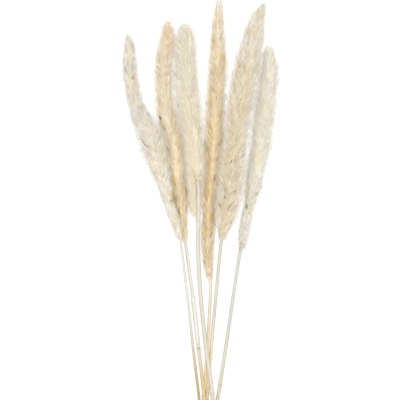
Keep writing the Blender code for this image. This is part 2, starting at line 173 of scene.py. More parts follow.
sky = bpy.data.worlds.new("studio")
sky.use_nodes = True
sky.node_tree.nodes["Background"].inputs["Color"].default_value = colour("#ffffff")
sky.node_tree.nodes["Background"].inputs["Strength"].default_value = SKY_LIGHT
bpy.context.scene.world = sky

for place, power in LAMPS:
    lamp_data = bpy.data.lights.new("softbox", "AREA")
    lamp_data.energy = power
    lamp_data.size = LAMP_SIZE
    lamp = bpy.data.objects.new("softbox", lamp_data)
    bpy.context.scene.collection.objects.link(lamp)
    lamp.location = place
    lamp.rotation_euler = (-place).to_track_quat("-Z", "Y").to_euler()
bpy.context.scene.view_settings.view_transform = "Standard"
print("lamps", LAMP_SIZE, "m wide,", [round(place.length, 2) for place, power in LAMPS], "m away")

# %% [markdown]
# A reed grows as one line: the stem, and then the slim axis of the plume. A smooth curve through a few
# given points gives that line. A curve object could draw it, but a script can't easily ask one where
# a place on it lies. This one can be read at any distance from the cut end, many places at once, with the
# directions along it, across it and up from it, which is all that is needed to grow things on it.

# %% The line of a reed
class Route:
    """A smooth curve through points, read by the length along it."""

    STEPS = 16
    LOOK = 2.0

    def __init__(self, points):
        knots = np.array([point[:3] for point in points], float)
        padded = np.vstack([2 * knots[:1] - knots[1:2], knots, 2 * knots[-1:] - knots[-2:-1]])
        t = (np.arange(self.STEPS) / self.STEPS)[:, None]
        stretches = [0.5 * (2 * b + (c - a) * t + (2 * a - 5 * b + 4 * c - d) * t ** 2
                            + (3 * b - a - 3 * c + d) * t ** 3)
                     for a, b, c, d in zip(padded, padded[1:], padded[2:], padded[3:])]
        self.points = np.vstack([*stretches, knots[-1:]])
        steps = np.linalg.norm(np.diff(self.points, axis=0), axis=1)
        self.lengths = np.concatenate([[0.0], np.cumsum(steps)])
        self.knots = self.lengths[::self.STEPS]
        self.length = self.lengths[-1]

    def at(self, place):
        """The points at some lengths along the route, going straight on past its end."""
        inside = np.stack([np.interp(place, self.lengths, self.points[:, i]) for i in range(3)], axis=-1)
        end = self.points[-1] - self.points[-2]
        past = np.maximum(np.asarray(place) - self.length, 0.0)
        return inside + past[..., None] * end / np.linalg.norm(end)

    def frame(self, place):
        """The directions along the route, level across it, and up from it."""
        along = self.at(place + self.LOOK) - self.at(np.maximum(place - self.LOOK, 0.0))
        along = along / np.linalg.norm(along, axis=-1, keepdims=True)
        across = np.cross(along, UP)
        across = across / np.linalg.norm(across, axis=-1, keepdims=True)
        return along, across, np.cross(across, along)

    def beside(self, place, turn, out, flatness=1.0):
        """The points a distance out from the route, at some shares of a full turn round it."""
        across, up = self.frame(place)[1:]
        angle = 2 * math.pi * np.asarray(turn)[..., None]
        way = across * np.cos(angle) + up * np.sin(angle) * flatness
        return self.at(place) + way * np.asarray(out)[..., None]


ruler = Route([(0, 0, 0), (0, 12, 0), (0, 30, 0)])
print("a straight line of 30 mm measures", round(ruler.length, 2), "mm")

# %% [markdown]
# Each reed is described by its own numbers. The stem's points give x, y and height, and the plume's give
# its half width as well, all in millimetres. They are the same points as in the solids. Each reed also has
# its own colours, from the foot of the plume to its tip: they were picked at different ages, from pale
# cream to gold, and the stems yellow towards the cut end.
#
# Joints and the leaf sheath are placed by shares of the stem's length, and marks is how plainly a joint
# shows. Spots is the colour of the tanner spots in a plume. Texture is how much its tufts differ in tone,
# and parting where the hair is combed from. Strands gives a number of loose tan strands and the shares of
# the plume that they grow between. The fringe colours are painted light and shade on the outer hair: a pale
# one on the flanks of the plume, which is painted light against the shade that falls there and in the
# valleys between the plumes, and a greyer one on its loose ends, which is painted shade.
#
# Under the tie the six stems lie in two layers of three, so those points are worked out from a grid.

# %% What a reed is
TIE_X = 6.2
TIE_Y = -193.0
STEM_PITCH = 4.4
LOW_LAYER = 3.45
HIGH_LAYER = 7.95
GATHERED_HALF_LENGTH = 9.0
END_Y = -245.0


class Reed(NamedTuple):
    """One reed: its points in millimetres, its finish slot, which is not used, and its colours from the
    foot to the tip.
    """
    number: int
    slot: str
    tufts_round: int
    radius_low: float
    radius_top: float
    joints: tuple
    stem: tuple
    plume: tuple
    plume_colours: tuple
    spots: str
    stem_colours: tuple
    branches: tuple = ()
    sheath: tuple = ()
    bare_axis: tuple = ()
    parting: float = 0.25
    texture: float = 0.6
    marks: float = 0.12
    strands: tuple = ()
    # Painted light on the flanks and painted shade on the loose ends of each plume.
    fringe_light_and_shade: tuple = ((0.7, "#fbf9f2"), (1.0, "#dfdcd5"))


def gathered(column, layer):
    """A stem's two points under the tie: a column from -1 to 1, in the low or the high layer."""
    return tuple((TIE_X + column * STEM_PITCH, TIE_Y + along, layer)
                 for along in (-GATHERED_HALF_LENGTH, GATHERED_HALF_LENGTH))


def describe(reed):
    """Say how long the reed is from the cut end to the tip, and how wide its plume gets."""
    length = Route((*reed.stem, *reed.plume)).length
    width = 2 * max(point[3] for point in reed.plume)
    print("reed", reed.number, "is", round(length), "mm long, and its plume", width, "mm wide")


print("the low layer of stems lies at", LOW_LAYER, "mm and the high one at", HIGH_LAYER, "mm")

# %% [markdown]
# The first reed, far left and on top of the others, has a cream plume that is bent like a feather: it is
# widest at the bend, where it turns to the left.

# %% First reed, cream
CREAM_REED = Reed(
    number=1, slot="plume_cream", tufts_round=26, radius_low=1.5, radius_top=1.25, joints=(0.50,),
    stem=((3.6, END_Y, 7.6), *gathered(-1.1, HIGH_LAYER), (-0.8, -153.0, 8.8),
          (-6.7, -103.0, 10.6), (-12.2, -53.0, 11.8)),
    plume=((-19.2, 4.0, 12.6, 2.0), (-21.0, 11.0, 13.0, 3.1), (-22.9, 19.0, 13.4, 3.9),
           (-27.8, 35.0, 13.8, 4.9), (-32.3, 51.0, 14.2, 5.8), (-36.3, 67.0, 14.8, 7.3),
           (-41.8, 83.0, 15.8, 9.4), (-45.6, 99.0, 16.4, 12.2), (-50.4, 114.0, 14.8, 11.2),
           (-55.2, 123.0, 12.8, 9.6), (-60.4, 131.0, 10.8, 7.4), (-63.6, 142.0, 8.6, 6.6),
           (-67.0, 155.0, 6.6, 6.2), (-69.8, 172.0, 4.8, 6.2), (-70.9, 192.0, 3.6, 5.5),
           (-70.6, 203.0, 3.2, 4.2), (-72.2, 210.0, 3.0, 1.0)),
    plume_colours=((0.33, "#eae9df"), (0.6, "#dddbd3"), (0.84, "#e2e2da")),
    spots="#ede0c8",
    stem_colours=("#ae986c", "#c4c4bb"), texture=0.9)
describe(CREAM_REED)

# %% [markdown]
# The second is tan and a little ragged. Its stem still has the leaf sheath, so the joint under it shows
# plainly, and loose strands stand out of the lower half of its plume.

# %% Second reed, tan
TAN_REED = Reed(
    number=2, slot="plume_tan", tufts_round=22, radius_low=1.9, radius_top=1.6, joints=(0.58,),
    stem=((8.8, END_Y + 3.0, 7.6), *gathered(0, HIGH_LAYER), (4.2, -150.0, 8.0),
          (-1.8, -98.0, 8.0), (-6.8, -53.0, 7.2)),
    plume=((-14.2, 1.0, 5.6, 2.4), (-16.3, 12.0, 5.4, 3.9), (-17.8, 24.0, 5.4, 4.9),
           (-19.0, 37.0, 5.4, 6.2), (-19.9, 51.0, 5.4, 7.6), (-22.0, 67.0, 5.6, 8.8),
           (-24.4, 83.0, 5.6, 9.6), (-25.9, 97.0, 5.6, 9.6), (-28.6, 111.0, 5.6, 9.3),
           (-32.3, 125.0, 5.4, 8.3), (-34.6, 139.0, 5.4, 7.9), (-35.9, 155.0, 5.2, 7.9),
           (-36.6, 173.0, 5.0, 7.8), (-35.5, 188.0, 4.8, 7.8), (-33.6, 201.0, 4.5, 7.2),
           (-32.4, 211.0, 4.1, 6.0), (-31.7, 218.0, 3.8, 4.6), (-31.6, 224.0, 3.4, 1.6)),
    # The lowest stop is the plume's own pinkish tan, painted lighter: painted light against the shade
    # between reeds 1 and 3.
    plume_colours=((0.4, "#f8eed2"), (0.63, "#e2ded0"), (0.85, "#dfd5c1")),
    spots="#ecd2ac",
    stem_colours=("#c3af86", "#cac6be"),
    sheath=(0.60, 0.80), texture=1.1, marks=1.0, strands=(80, 0.08, 0.56),
    fringe_light_and_shade=((0.7, "#fdf3df"), (1.0, "#e6dac3")))
describe(TAN_REED)

# %% [markdown]
# The third is pale, with a thick stem. A piece of the plume's bare axis shows in front of the hair.

# %% Third reed, pale
PALE_REED = Reed(
    number=3, slot="plume_pale", tufts_round=28, radius_low=2.1, radius_top=2.0, joints=(0.36,),
    stem=((13.8, END_Y + 1.0, 7.6), *gathered(1, HIGH_LAYER), (12.8, -153.0, 8.6),
          (6.4, -103.0, 9.4), (0.9, -53.0, 9.2), (-1.9, -3.0, 8.6)),
    plume=((-1.8, 26.0, 8.8, 2.8), (-5.4, 38.0, 9.2, 5.4), (-6.1, 50.0, 9.8, 7.2),
           (-5.7, 62.0, 10.4, 8.5), (-4.8, 77.0, 10.8, 9.6), (-5.4, 91.0, 10.7, 9.8),
           (-7.4, 107.0, 10.4, 10.8), (-10.6, 128.0, 9.0, 11.4), (-12.2, 143.0, 7.9, 11.2),
           (-13.5, 158.0, 7.0, 10.6), (-14.7, 180.0, 6.2, 10.2), (-14.8, 201.0, 5.4, 9.0),
           (-14.7, 214.0, 4.8, 6.7), (-14.4, 222.0, 4.4, 2.4)),
    plume_colours=((0.39, "#efe8d7"), (0.62, "#eae7d9"), (0.85, "#e4e4d6")),
    spots="#efe6d2",
    stem_colours=("#c7beb0", "#c0bbac"),
    bare_axis=((-1.9, 14.0, 8.7, 1.9), (-1.5, 30.0, 10.4, 1.9), (-1.2, 44.0, 13.2, 1.8),
               (-1.6, 58.0, 15.8, 1.5), (-2.8, 69.0, 16.6, 1.0)),
    parting=0.18, texture=1.0, fringe_light_and_shade=((0.7, "#fdf7ea"), (1.0, "#e4dccc")))
describe(PALE_REED)

# %% [markdown]
# The fourth is the golden one, long and slim, and lowest in the bunch. It sheds loose strands, and one
# small side branch stands out on its left.

# %% Fourth reed, golden
GOLDEN_REED = Reed(
    number=4, slot="plume_golden", tufts_round=22, radius_low=1.9, radius_top=1.5, joints=(0.45,),
    stem=((-0.8, END_Y + 4.0, 2.4), *gathered(-1, LOW_LAYER), (3.3, -153.0, 3.6),
          (6.6, -113.0, 4.0), (9.4, -70.0, 4.6)),
    plume=((10.6, -38.0, 4.8, 2.1), (9.4, -28.0, 4.8, 3.1), (8.2, -15.0, 4.8, 4.9),
           (7.9, 5.0, 4.8, 5.7), (8.8, 27.0, 4.8, 6.1), (9.6, 47.0, 4.8, 6.7),
           (11.4, 67.0, 4.8, 7.5), (12.9, 83.0, 4.8, 7.9), (14.2, 102.0, 4.8, 8.3),
           (15.3, 139.0, 4.8, 8.3), (16.8, 162.0, 4.5, 8.2), (18.0, 186.0, 3.9, 7.8),
           (18.1, 205.0, 3.5, 6.3), (18.1, 219.0, 3.2, 5.1), (18.9, 233.0, 2.9, 4.0),
           (19.1, 245.0, 2.6, 1.8)),
    plume_colours=((0.1, "#dcd2bf"), (0.25, "#f4dfbb"), (0.45, "#f8e8bc"), (0.63, "#e6dbc0"),
                   (0.8, "#ebe0c6"), (0.95, "#e8e6df")),
    spots="#e2c894",
    # The low colour is the stem's own gold, painted lighter: painted light against the shade under the
    # stems above.
    stem_colours=("#f0ddae", "#c7c0ad"),
    branches=(((11.0, 75.0, 4.0, 2.0), (7.0, 91.0, 2.8, 2.4), (5.2, 105.0, 2.2, 0.6)),),
    texture=1.3, strands=(110, 0.06, 0.56), fringe_light_and_shade=((0.7, "#f9eed8"), (1.0, "#e4dac6")))
describe(GOLDEN_REED)

# %% [markdown]
# The fifth has the fullest plume, beige and broad above its foot. Its last hairs stand as a brush, so the
# points at its tip are slimmer here than in the solids.

# %% Fifth reed, beige
BEIGE_REED = Reed(
    number=5, slot="plume_beige", tufts_round=28, radius_low=1.8, radius_top=1.6, joints=(0.40,),
    stem=((5.2, END_Y, 2.4), *gathered(0, LOW_LAYER), (7.1, -153.0, 3.5),
          (11.2, -103.0, 4.6), (15.6, -53.0, 7.0)),
    plume=((20.8, 2.0, 10.6, 2.4), (22.2, 10.0, 11.6, 3.8), (24.1, 23.0, 12.8, 7.8),
           (26.4, 35.0, 14.0, 10.8), (27.8, 47.0, 14.2, 12.0), (29.8, 58.0, 14.4, 12.8),
           (31.8, 73.0, 14.4, 12.4), (33.4, 95.0, 13.8, 11.7), (36.8, 120.0, 12.4, 11.5),
           (38.9, 136.0, 11.4, 11.6), (41.4, 150.0, 10.4, 11.8), (44.8, 165.0, 9.4, 11.9),
           (49.2, 187.0, 8.0, 11.4), (53.7, 209.0, 6.8, 9.2), (57.5, 227.0, 5.6, 6.0),
           (61.6, 236.0, 5.0, 3.0), (63.3, 242.0, 4.6, 0.8)),
    plume_colours=((0.2, "#e0d9c7"), (0.46, "#e3ddc6"), (0.69, "#e6e1d1"), (0.88, "#e1e3dc")),
    spots="#ead9ba",
    # The low colour is the stem's own gold, painted lighter: painted light against the shade under the
    # stems above.
    stem_colours=("#e4d1a3", "#bdb8aa"), texture=1.1,
    fringe_light_and_shade=((0.7, "#fdf8ec"), (1.0, "#e4ddd0")))
describe(BEIGE_REED)

# %% [markdown]
# The sixth, far right, is pale grey. Its plume has a waist near the foot, with a small tuft of its own
# below it.

# %% Sixth reed, grey
GREY_REED = Reed(
    number=6, slot="plume_grey", tufts_round=24, radius_low=1.9, radius_top=1.7, joints=(0.44,),
    stem=((11.0, END_Y + 2.5, 2.4), *gathered(0.92, LOW_LAYER), (17.6, -153.0, 3.6),
          (25.5, -103.0, 4.2), (32.8, -53.0, 4.8)),
    plume=((40.0, -6.0, 5.2, 2.4), (42.4, 2.0, 5.0, 4.1), (44.1, 14.0, 4.8, 4.9),
           (46.0, 25.0, 4.8, 4.9), (47.2, 33.0, 4.8, 4.4), (49.8, 43.0, 5.2, 5.1),
           (53.6, 61.0, 5.8, 7.8), (56.7, 81.0, 5.9, 8.3), (59.3, 93.0, 6.0, 8.7),
           (61.2, 104.0, 6.0, 9.1), (62.9, 120.0, 6.0, 9.8), (65.0, 137.0, 5.8, 9.6),
           (66.9, 150.0, 5.6, 9.2), (68.8, 165.0, 5.2, 8.5), (69.8, 179.0, 4.8, 7.5),
           (69.5, 187.0, 4.4, 5.8), (69.4, 195.0, 4.0, 3.4), (69.5, 200.0, 3.6, 1.4)),
    plume_colours=((0.11, "#d7dcde"), (0.39, "#edefe6"), (0.65, "#e0dfd6"), (0.85, "#e7e8e4")),
    spots="#efe8d2",
    stem_colours=("#bfb9a6", "#b9b8ae"), texture=0.9,
    fringe_light_and_shade=((0.7, "#fcf8ee"), (1.0, "#e1ddd4")))
describe(GREY_REED)

# %% [markdown]
# The six reeds together, from left to right.

# %% The six reeds
REEDS = (CREAM_REED, TAN_REED, PALE_REED, GOLDEN_REED, BEIGE_REED, GREY_REED)
print(len(REEDS), "reeds,", sum(len(reed.plume) for reed in REEDS), "plume points")

# %% [markdown]
# Every piece is a heap of closed bodies: hairs, tubes or ribbons. An object for each hair would be far too
# slow. So their points, faces and the values that the material needs, such as how far along its plume a
# hair grows, are collected first. Then the mesh is made in one go, with each value stored on the points as
# a named attribute, which the shader can read.

# %% Collecting bodies
class Heap:
    """Closed bodies collected for one mesh, with named values for their points."""

    def __init__(self):
        self.points, self.faces, self.values, self.count = [], [], {}, 0

    def add(self, points, faces, **values):
        """Add a body or many: its points, its triangles, and a value or one per point for each name."""
        self.points.append(points)
        self.faces.append(faces + self.count)
        self.count += len(points)
        for key, value in values.items():
            self.values.setdefault(key, []).append(np.broadcast_to(np.asarray(value, float), len(points)))


example = Heap()
example.add(np.eye(3), np.array(((0, 1, 2),)), tone=0.5)
print("one triangle in a heap has", example.count, "points, each with a", *example.values)

# %% [markdown]
# A full heap turns into one piece of the scene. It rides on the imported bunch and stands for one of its
# solids, so that solid is hidden. Its faces are shaded smooth, and only edges that are clearly folded, such
# as the rim of a cut stem, stay crisp.

# %% Making a piece
SHARP_ANGLE = 50.0


def make_piece(heap, name, node, material):
    """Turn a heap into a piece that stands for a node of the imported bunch."""
    mesh = bpy.data.meshes.new(name)
    faces = np.vstack(heap.faces)
    mesh.from_pydata(to_metres(np.vstack(heap.points)), [], faces)
    for key, numbers in heap.values.items():
        attribute = mesh.attributes.new(key, "FLOAT", "POINT")
        attribute.data.foreach_set("value", np.concatenate(numbers).astype(np.float32))
    mesh.shade_smooth()
    mesh.set_sharp_from_angle(angle=math.radians(SHARP_ANGLE))
    mesh.materials.append(material)
    piece = bpy.data.objects.new(name, mesh)
    bpy.context.scene.collection.objects.link(piece)
    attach(piece, "root")
    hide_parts(node)
    print(name, len(faces), "triangles")


print("edges sharper than", SHARP_ANGLE, "degrees stay crisp")

# %% [markdown]
# A hair of the plume is far too fine to give a round section. Hair curves could draw it, or flat cards with
# a picture of hair, but the first make no mesh and the second look flat from the side. Here it is a closed
# sliver with three sides, pointed at both ends and bent in the middle: six triangles, enough to catch the
# light like a real hair and to cast a real shadow, and cheap enough to grow many thousands. It is drawn
# several times as thick as a real hair, at 0.1 to 0.6 mm, because a real one is too fine to show in the
# picture. Many are made at once, each from its root, its middle and its tip.

# %% Hairs
SLIVER_FACES = np.array(((1, 0, 2), (2, 0, 3), (3, 0, 1), (1, 2, 4), (2, 3, 4), (3, 1, 4)))
SLIVER_PLACES = np.array((0.0, 0.5, 0.5, 0.5, 1.0))


def slivers(root, middle, tip, width, rng):
    """Closed slivers through three points each: their points and faces."""
    count = len(root)
    way = tip - root
    way = way / np.linalg.norm(way, axis=1, keepdims=True)
    side = np.cross(way, rng.normal(size=(count, 3)))
    side = side / np.linalg.norm(side, axis=1, keepdims=True)
    other = np.cross(way, side)
    points = np.empty((count, len(SLIVER_PLACES), 3))
    points[:, 0] = root
    points[:, -1] = tip
    for corner in range(3):
        angle = 2 * math.pi * corner / 3
        out = side * math.cos(angle) + other * math.sin(angle)
        points[:, 1 + corner] = middle + out * (width / 2)[:, None]
    faces = np.arange(count)[:, None, None] * len(SLIVER_PLACES) + SLIVER_FACES
    return points.reshape(-1, 3), faces.reshape(-1, 3)


print("a hair has", len(SLIVER_FACES), "triangles between", len(SLIVER_PLACES), "points")

# %% [markdown]
# Rounder things are skins over rings of points: stems, plume axes, raffia. A curve with a round bevel could
# give a plain stem, but not its bore, and not a ridged ribbon. A skin is closed at both ends, or it runs
# back into its own start. A tube is a skin over round rings along a route.

# %% Skins and tubes
def skin(rings, looped=False):
    """The points and triangles of a closed body over rings of equally many points."""
    count, sides = rings.shape[:2]
    index = np.arange(count * sides).reshape(count, sides)
    if looped:
        index = np.vstack([index, index[:1]])
    low, high = index[:-1], index[1:]
    low_next, high_next = np.roll(low, -1, axis=1), np.roll(high, -1, axis=1)
    faces = [np.stack([low, high, high_next], -1).reshape(-1, 3),
             np.stack([low, high_next, low_next], -1).reshape(-1, 3)]
    if not looped:
        fan = np.arange(1, sides - 1)
        start, end = index[0], index[-1]
        faces.append(np.stack([np.full(len(fan), start[0]), start[fan], start[fan + 1]], -1))
        faces.append(np.stack([np.full(len(fan), end[0]), end[fan + 1], end[fan]], -1))
    return rings.reshape(-1, 3), np.vstack(faces)


def tube(route, places, radii, sides, flatness=1.0):
    """A closed tube along a route, with a radius for each place."""
    turns = np.arange(sides) / sides
    rings = [route.beside(np.full(sides, place), turns, np.full(sides, radius), flatness)
             for place, radius in zip(places, radii)]
    return skin(np.array(rings))


print("a tube of 3 rings with 8 sides has", len(tube(ruler, (0, 15, 30), (2, 2, 2), 8)[1]), "triangles")

# %% [markdown]
# The plume of a reed is a panicle: hundreds of short branchlets rise from its axis, each with many tiny
# spikelets that are wrapped in silky hairs. Seen from a step away it is a soft brush with a herringbone of
# pale tufts. It is grown here in the same order: rows of tufts round the axis, each tuft leaving the axis
# at an angle and curving up along it, and on each tuft a spray of hairs and a few narrow husks. Hairs
# scattered at random over a body would be simpler, but they would show no herringbone. The rows are
# staggered by half a tuft, and every random draw has a seed, so the plume is the same on each run.
#
# The herringbone comes from a parting. The tufts on top of the plume, and those below, start out together
# along one line and are combed from it to both sides, so the hairs of the left side slant one way and those
# of the right side the other. The parting is a share of a turn round the axis: a quarter is on top.

# %% Tufts in rows
ROW_PITCH = 3.2
PLACE_SCATTER = 0.35
TURN_SCATTER = 0.3
FLARE_POWER = 0.9
RISE = 4.5
RISE_PER_WIDTH = 0.6
RISE_RANGE = (0.85, 1.15)
WIDEST_AT = 0.8
OUT_RANGE = (0.94, 1.03)
AXIS_RADIUS = 0.6


class Tufts(NamedTuple):
    """Tufts as arrays: where they leave the axis, how far they rise, where round it, how far out."""
    place: np.ndarray
    rise: np.ndarray
    turn: np.ndarray
    out: np.ndarray
    root_out: np.ndarray
    tone: np.ndarray
    parting: float


def lay_tufts(route, start, knots, widths, around, parting, rng):
    """Staggered rows of tufts from a start to the tip of the route."""
    rows = int((route.length - start) / ROW_PITCH)
    row = np.repeat(np.arange(rows), around)
    count = len(row)
    place = start + (row + rng.uniform(-PLACE_SCATTER, PLACE_SCATTER, count)) * ROW_PITCH
    column = np.tile(np.arange(around), rows) + row * 0.5
    turn = (column + rng.uniform(-TURN_SCATTER, TURN_SCATTER, count)) / around % 1.0
    nearest_parting = np.where(turn < 0.5, parting, 1.0 - parting)
    away = (turn - nearest_parting) * 4
    turn = nearest_parting + np.sign(away) * np.abs(away) ** FLARE_POWER / 4
    near = np.interp(place, knots, widths)
    rise = (RISE + RISE_PER_WIDTH * near) * rng.uniform(*RISE_RANGE, count)
    out = np.interp(place + rise * WIDEST_AT, knots, widths) * rng.uniform(*OUT_RANGE, count)
    return Tufts(place, rise, turn, out, np.minimum(near, AXIS_RADIUS), rng.uniform(0.0, 1.0, count),
                 parting)


print("a plume of 200 mm has", int(200 / ROW_PITCH), "rows of tufts")

# %% [markdown]
# A tuft leaves the axis steeply and then curves up along it, and at first it follows the parting and only
# then goes its own way. Near the tip of the plume the tufts are squeezed together, so that they end in a
# rounded brush and none of them goes far past it. The plume lies on the table, so it is a little flat.

# %% Points on a tuft
FLATNESS = 0.62
LIFT_POWER = 3.0
COMBED_FROM = 0.15
TIP_ROOM = 6.0


def on_tuft(route, tufts, which, share, turn, scale, past_tip):
    """Points on tufts at shares of their length, some way to the side and in or out of the tuft's line."""
    place = tufts.place[which] + tufts.rise[which] * share
    over = np.maximum(place - (route.length + past_tip - TIP_ROOM), 0.0)
    place = place - over + TIP_ROOM * (1.0 - np.exp(-over / TIP_ROOM))
    lift = 1.0 - (1.0 - np.minimum(share, 1.0)) ** LIFT_POWER
    out = tufts.root_out[which] + (tufts.out[which] * scale - tufts.root_out[which]) * lift
    own = tufts.turn[which] % 1.0
    parting = np.where(own < 0.5, tufts.parting, 1.0 - tufts.parting)
    turned = turn + parting + (own - parting) * (COMBED_FROM + (1.0 - COMBED_FROM) * share)
    aside = np.abs(np.cos(2 * math.pi * turned)) * out / tufts.out[which]
    return route.beside(place, turned, out, FLATNESS), aside


print("halfway along it, a tuft is", round(1 - 0.5 ** LIFT_POWER, 3), "of its way out")

# %% [markdown]
# Three kinds of sliver grow on each tuft: down, which makes the dense body; wisps, thinner and longer,
# which reach past the body and blur its outline; and husks, the dry tan scales of the spikelets. Most wisps
# stay close to the body and few reach far, so the plume thins out softly into the air. The scale of a
# sliver is how far out it lies, as a share of its tuft, and its spread is how far it leans to the side.

# %% Sprays of hair
class Spray(NamedTuple):
    """One kind of sliver: how many on a full tuft, where it starts, and its sizes in millimetres."""
    count: float
    start: tuple
    length: tuple
    width: tuple
    scale: tuple
    spread: float
    past_tip: float
    husk: float


FULL_TUFT_WIDTH = 10.0
FULLNESS_RANGE = (0.35, 1.15)
THINNING = 1.6
MIDDLE_SCATTER = 0.2
TIP_SCATTER = 0.4
# The root, middle and tip of a sliver: how far along it, and its shares of the lean and the width.
SLIVER_PATH = ((0.0, 0.15, 0.95), (0.5, 0.7, 1.0), (1.0, 1.2, 1.0))
DOWN = Spray(count=5.6, start=(0.05, 0.75), length=(6.5, 10.5), width=(0.36, 0.56), scale=(0.72, 0.95),
             spread=0.10, past_tip=-2.0, husk=0.0)
WISPS = Spray(count=8.0, start=(0.30, 0.90), length=(6.5, 11.0), width=(0.13, 0.22), scale=(0.84, 1.38),
              spread=0.40, past_tip=3.0, husk=0.0)
HUSKS = Spray(count=1.4, start=(0.10, 0.60), length=(6.0, 10.0), width=(0.36, 0.54), scale=(0.89, 0.99),
              spread=0.06, past_tip=-1.0, husk=1.0)


def grow_spray(route, tufts, kind, around, rng):
    """The slivers of one kind on all the tufts: points, faces, tufts, starts and how far aside they are."""
    fullness = np.clip(tufts.out / FULL_TUFT_WIDTH, *FULLNESS_RANGE)
    which = np.repeat(np.arange(len(tufts.place)), np.round(kind.count * fullness).astype(int))
    many = len(which)
    start = rng.uniform(*kind.start, many)
    span = rng.uniform(*kind.length, many) / np.hypot(tufts.rise[which], tufts.out[which])
    scale = kind.scale[0] + (kind.scale[1] - kind.scale[0]) * rng.random(many) ** THINNING
    lean = rng.normal(size=many) * kind.spread / around
    (root, low), (middle, mid), (tip, high) = (
        on_tuft(route, tufts, which, start + span * share, lean * turn, scale * near, kind.past_tip)
        for share, turn, near in SLIVER_PATH)
    middle = middle + rng.normal(size=middle.shape) * MIDDLE_SCATTER
    tip = tip + rng.normal(size=tip.shape) * TIP_SCATTER
    points, faces = slivers(root, middle, tip, rng.uniform(*kind.width, many), rng)
    return points, faces, which, start, np.stack([low, mid, mid, mid, high], 1).ravel()


print("a full tuft has about", round(DOWN.count + WISPS.count + HUSKS.count), "slivers")

# %% [markdown]
# The material of the plumes is silky plant hair: cellulose, almost white once it is dry and bleached by the
# sun, over tan husks. The colour runs along the plume in a few steps and drifts in patches about 20 mm long
# with spots of 7 mm in them. It darkens to a warm tan at the roots, where the husks shade into the hair.
# The hair on the flanks is painted palest, as painted light against the shade that falls on the flanks and
# in the valleys between plumes. The loose ends outside are painted greyer, as painted shade for thin hairs
# seen alone. It also differs a little from tuft to tuft and hair to hair. Here and there a dead husk or
# bract is brown, from gold to nearly black.
#
# A painted image could hold all this, but it would have to be unwrapped onto every hair. The material is a
# chain instead: the colour along the plume, then the roots, the painted light and shade of the flanks and
# loose ends, the spots, the husks and last the tone of each tuft. Each link mixes one thing into what came
# before, by a value on the points or by noise.

# %% Plume material
# Dry cellulose hair: it gives the eye a matt, soft body with a faint silky sheen at the edges.
PLUME_HAIR = {"Roughness": 0.75, "Specular IOR Level": 0.25, "Sheen Weight": 0.15, "Sheen Roughness": 0.4}
PATCH_MM = 20.0
PATCH_SHIFT = 0.22
ROOT_REACH = 0.7
ROOT_SHARE = 0.5
ROOT_TINT = "#e6d6b8"
# The flanks are painted paler, as painted light against their shade, and the loose ends greyer, as painted
# shade.
PAINTED_FRINGE_RANGE = (0.2, 0.85)
PAINTED_FRINGE_SHARE = 0.85
SPOT_MM = 7.0
SPOT_STRETCH = (1.0, 0.5, 1.0)
SPOT_RANGE = (0.48, 0.66)
SPOT_SHARE = 0.7
HUSK_BROWNS = ((0.0, "#dcc8a4"), (0.35, "#c8ab66"), (0.65, "#9c7f45"), (1.0, "#51392b"))
TONE_RANGE = (0.785, 1.11)


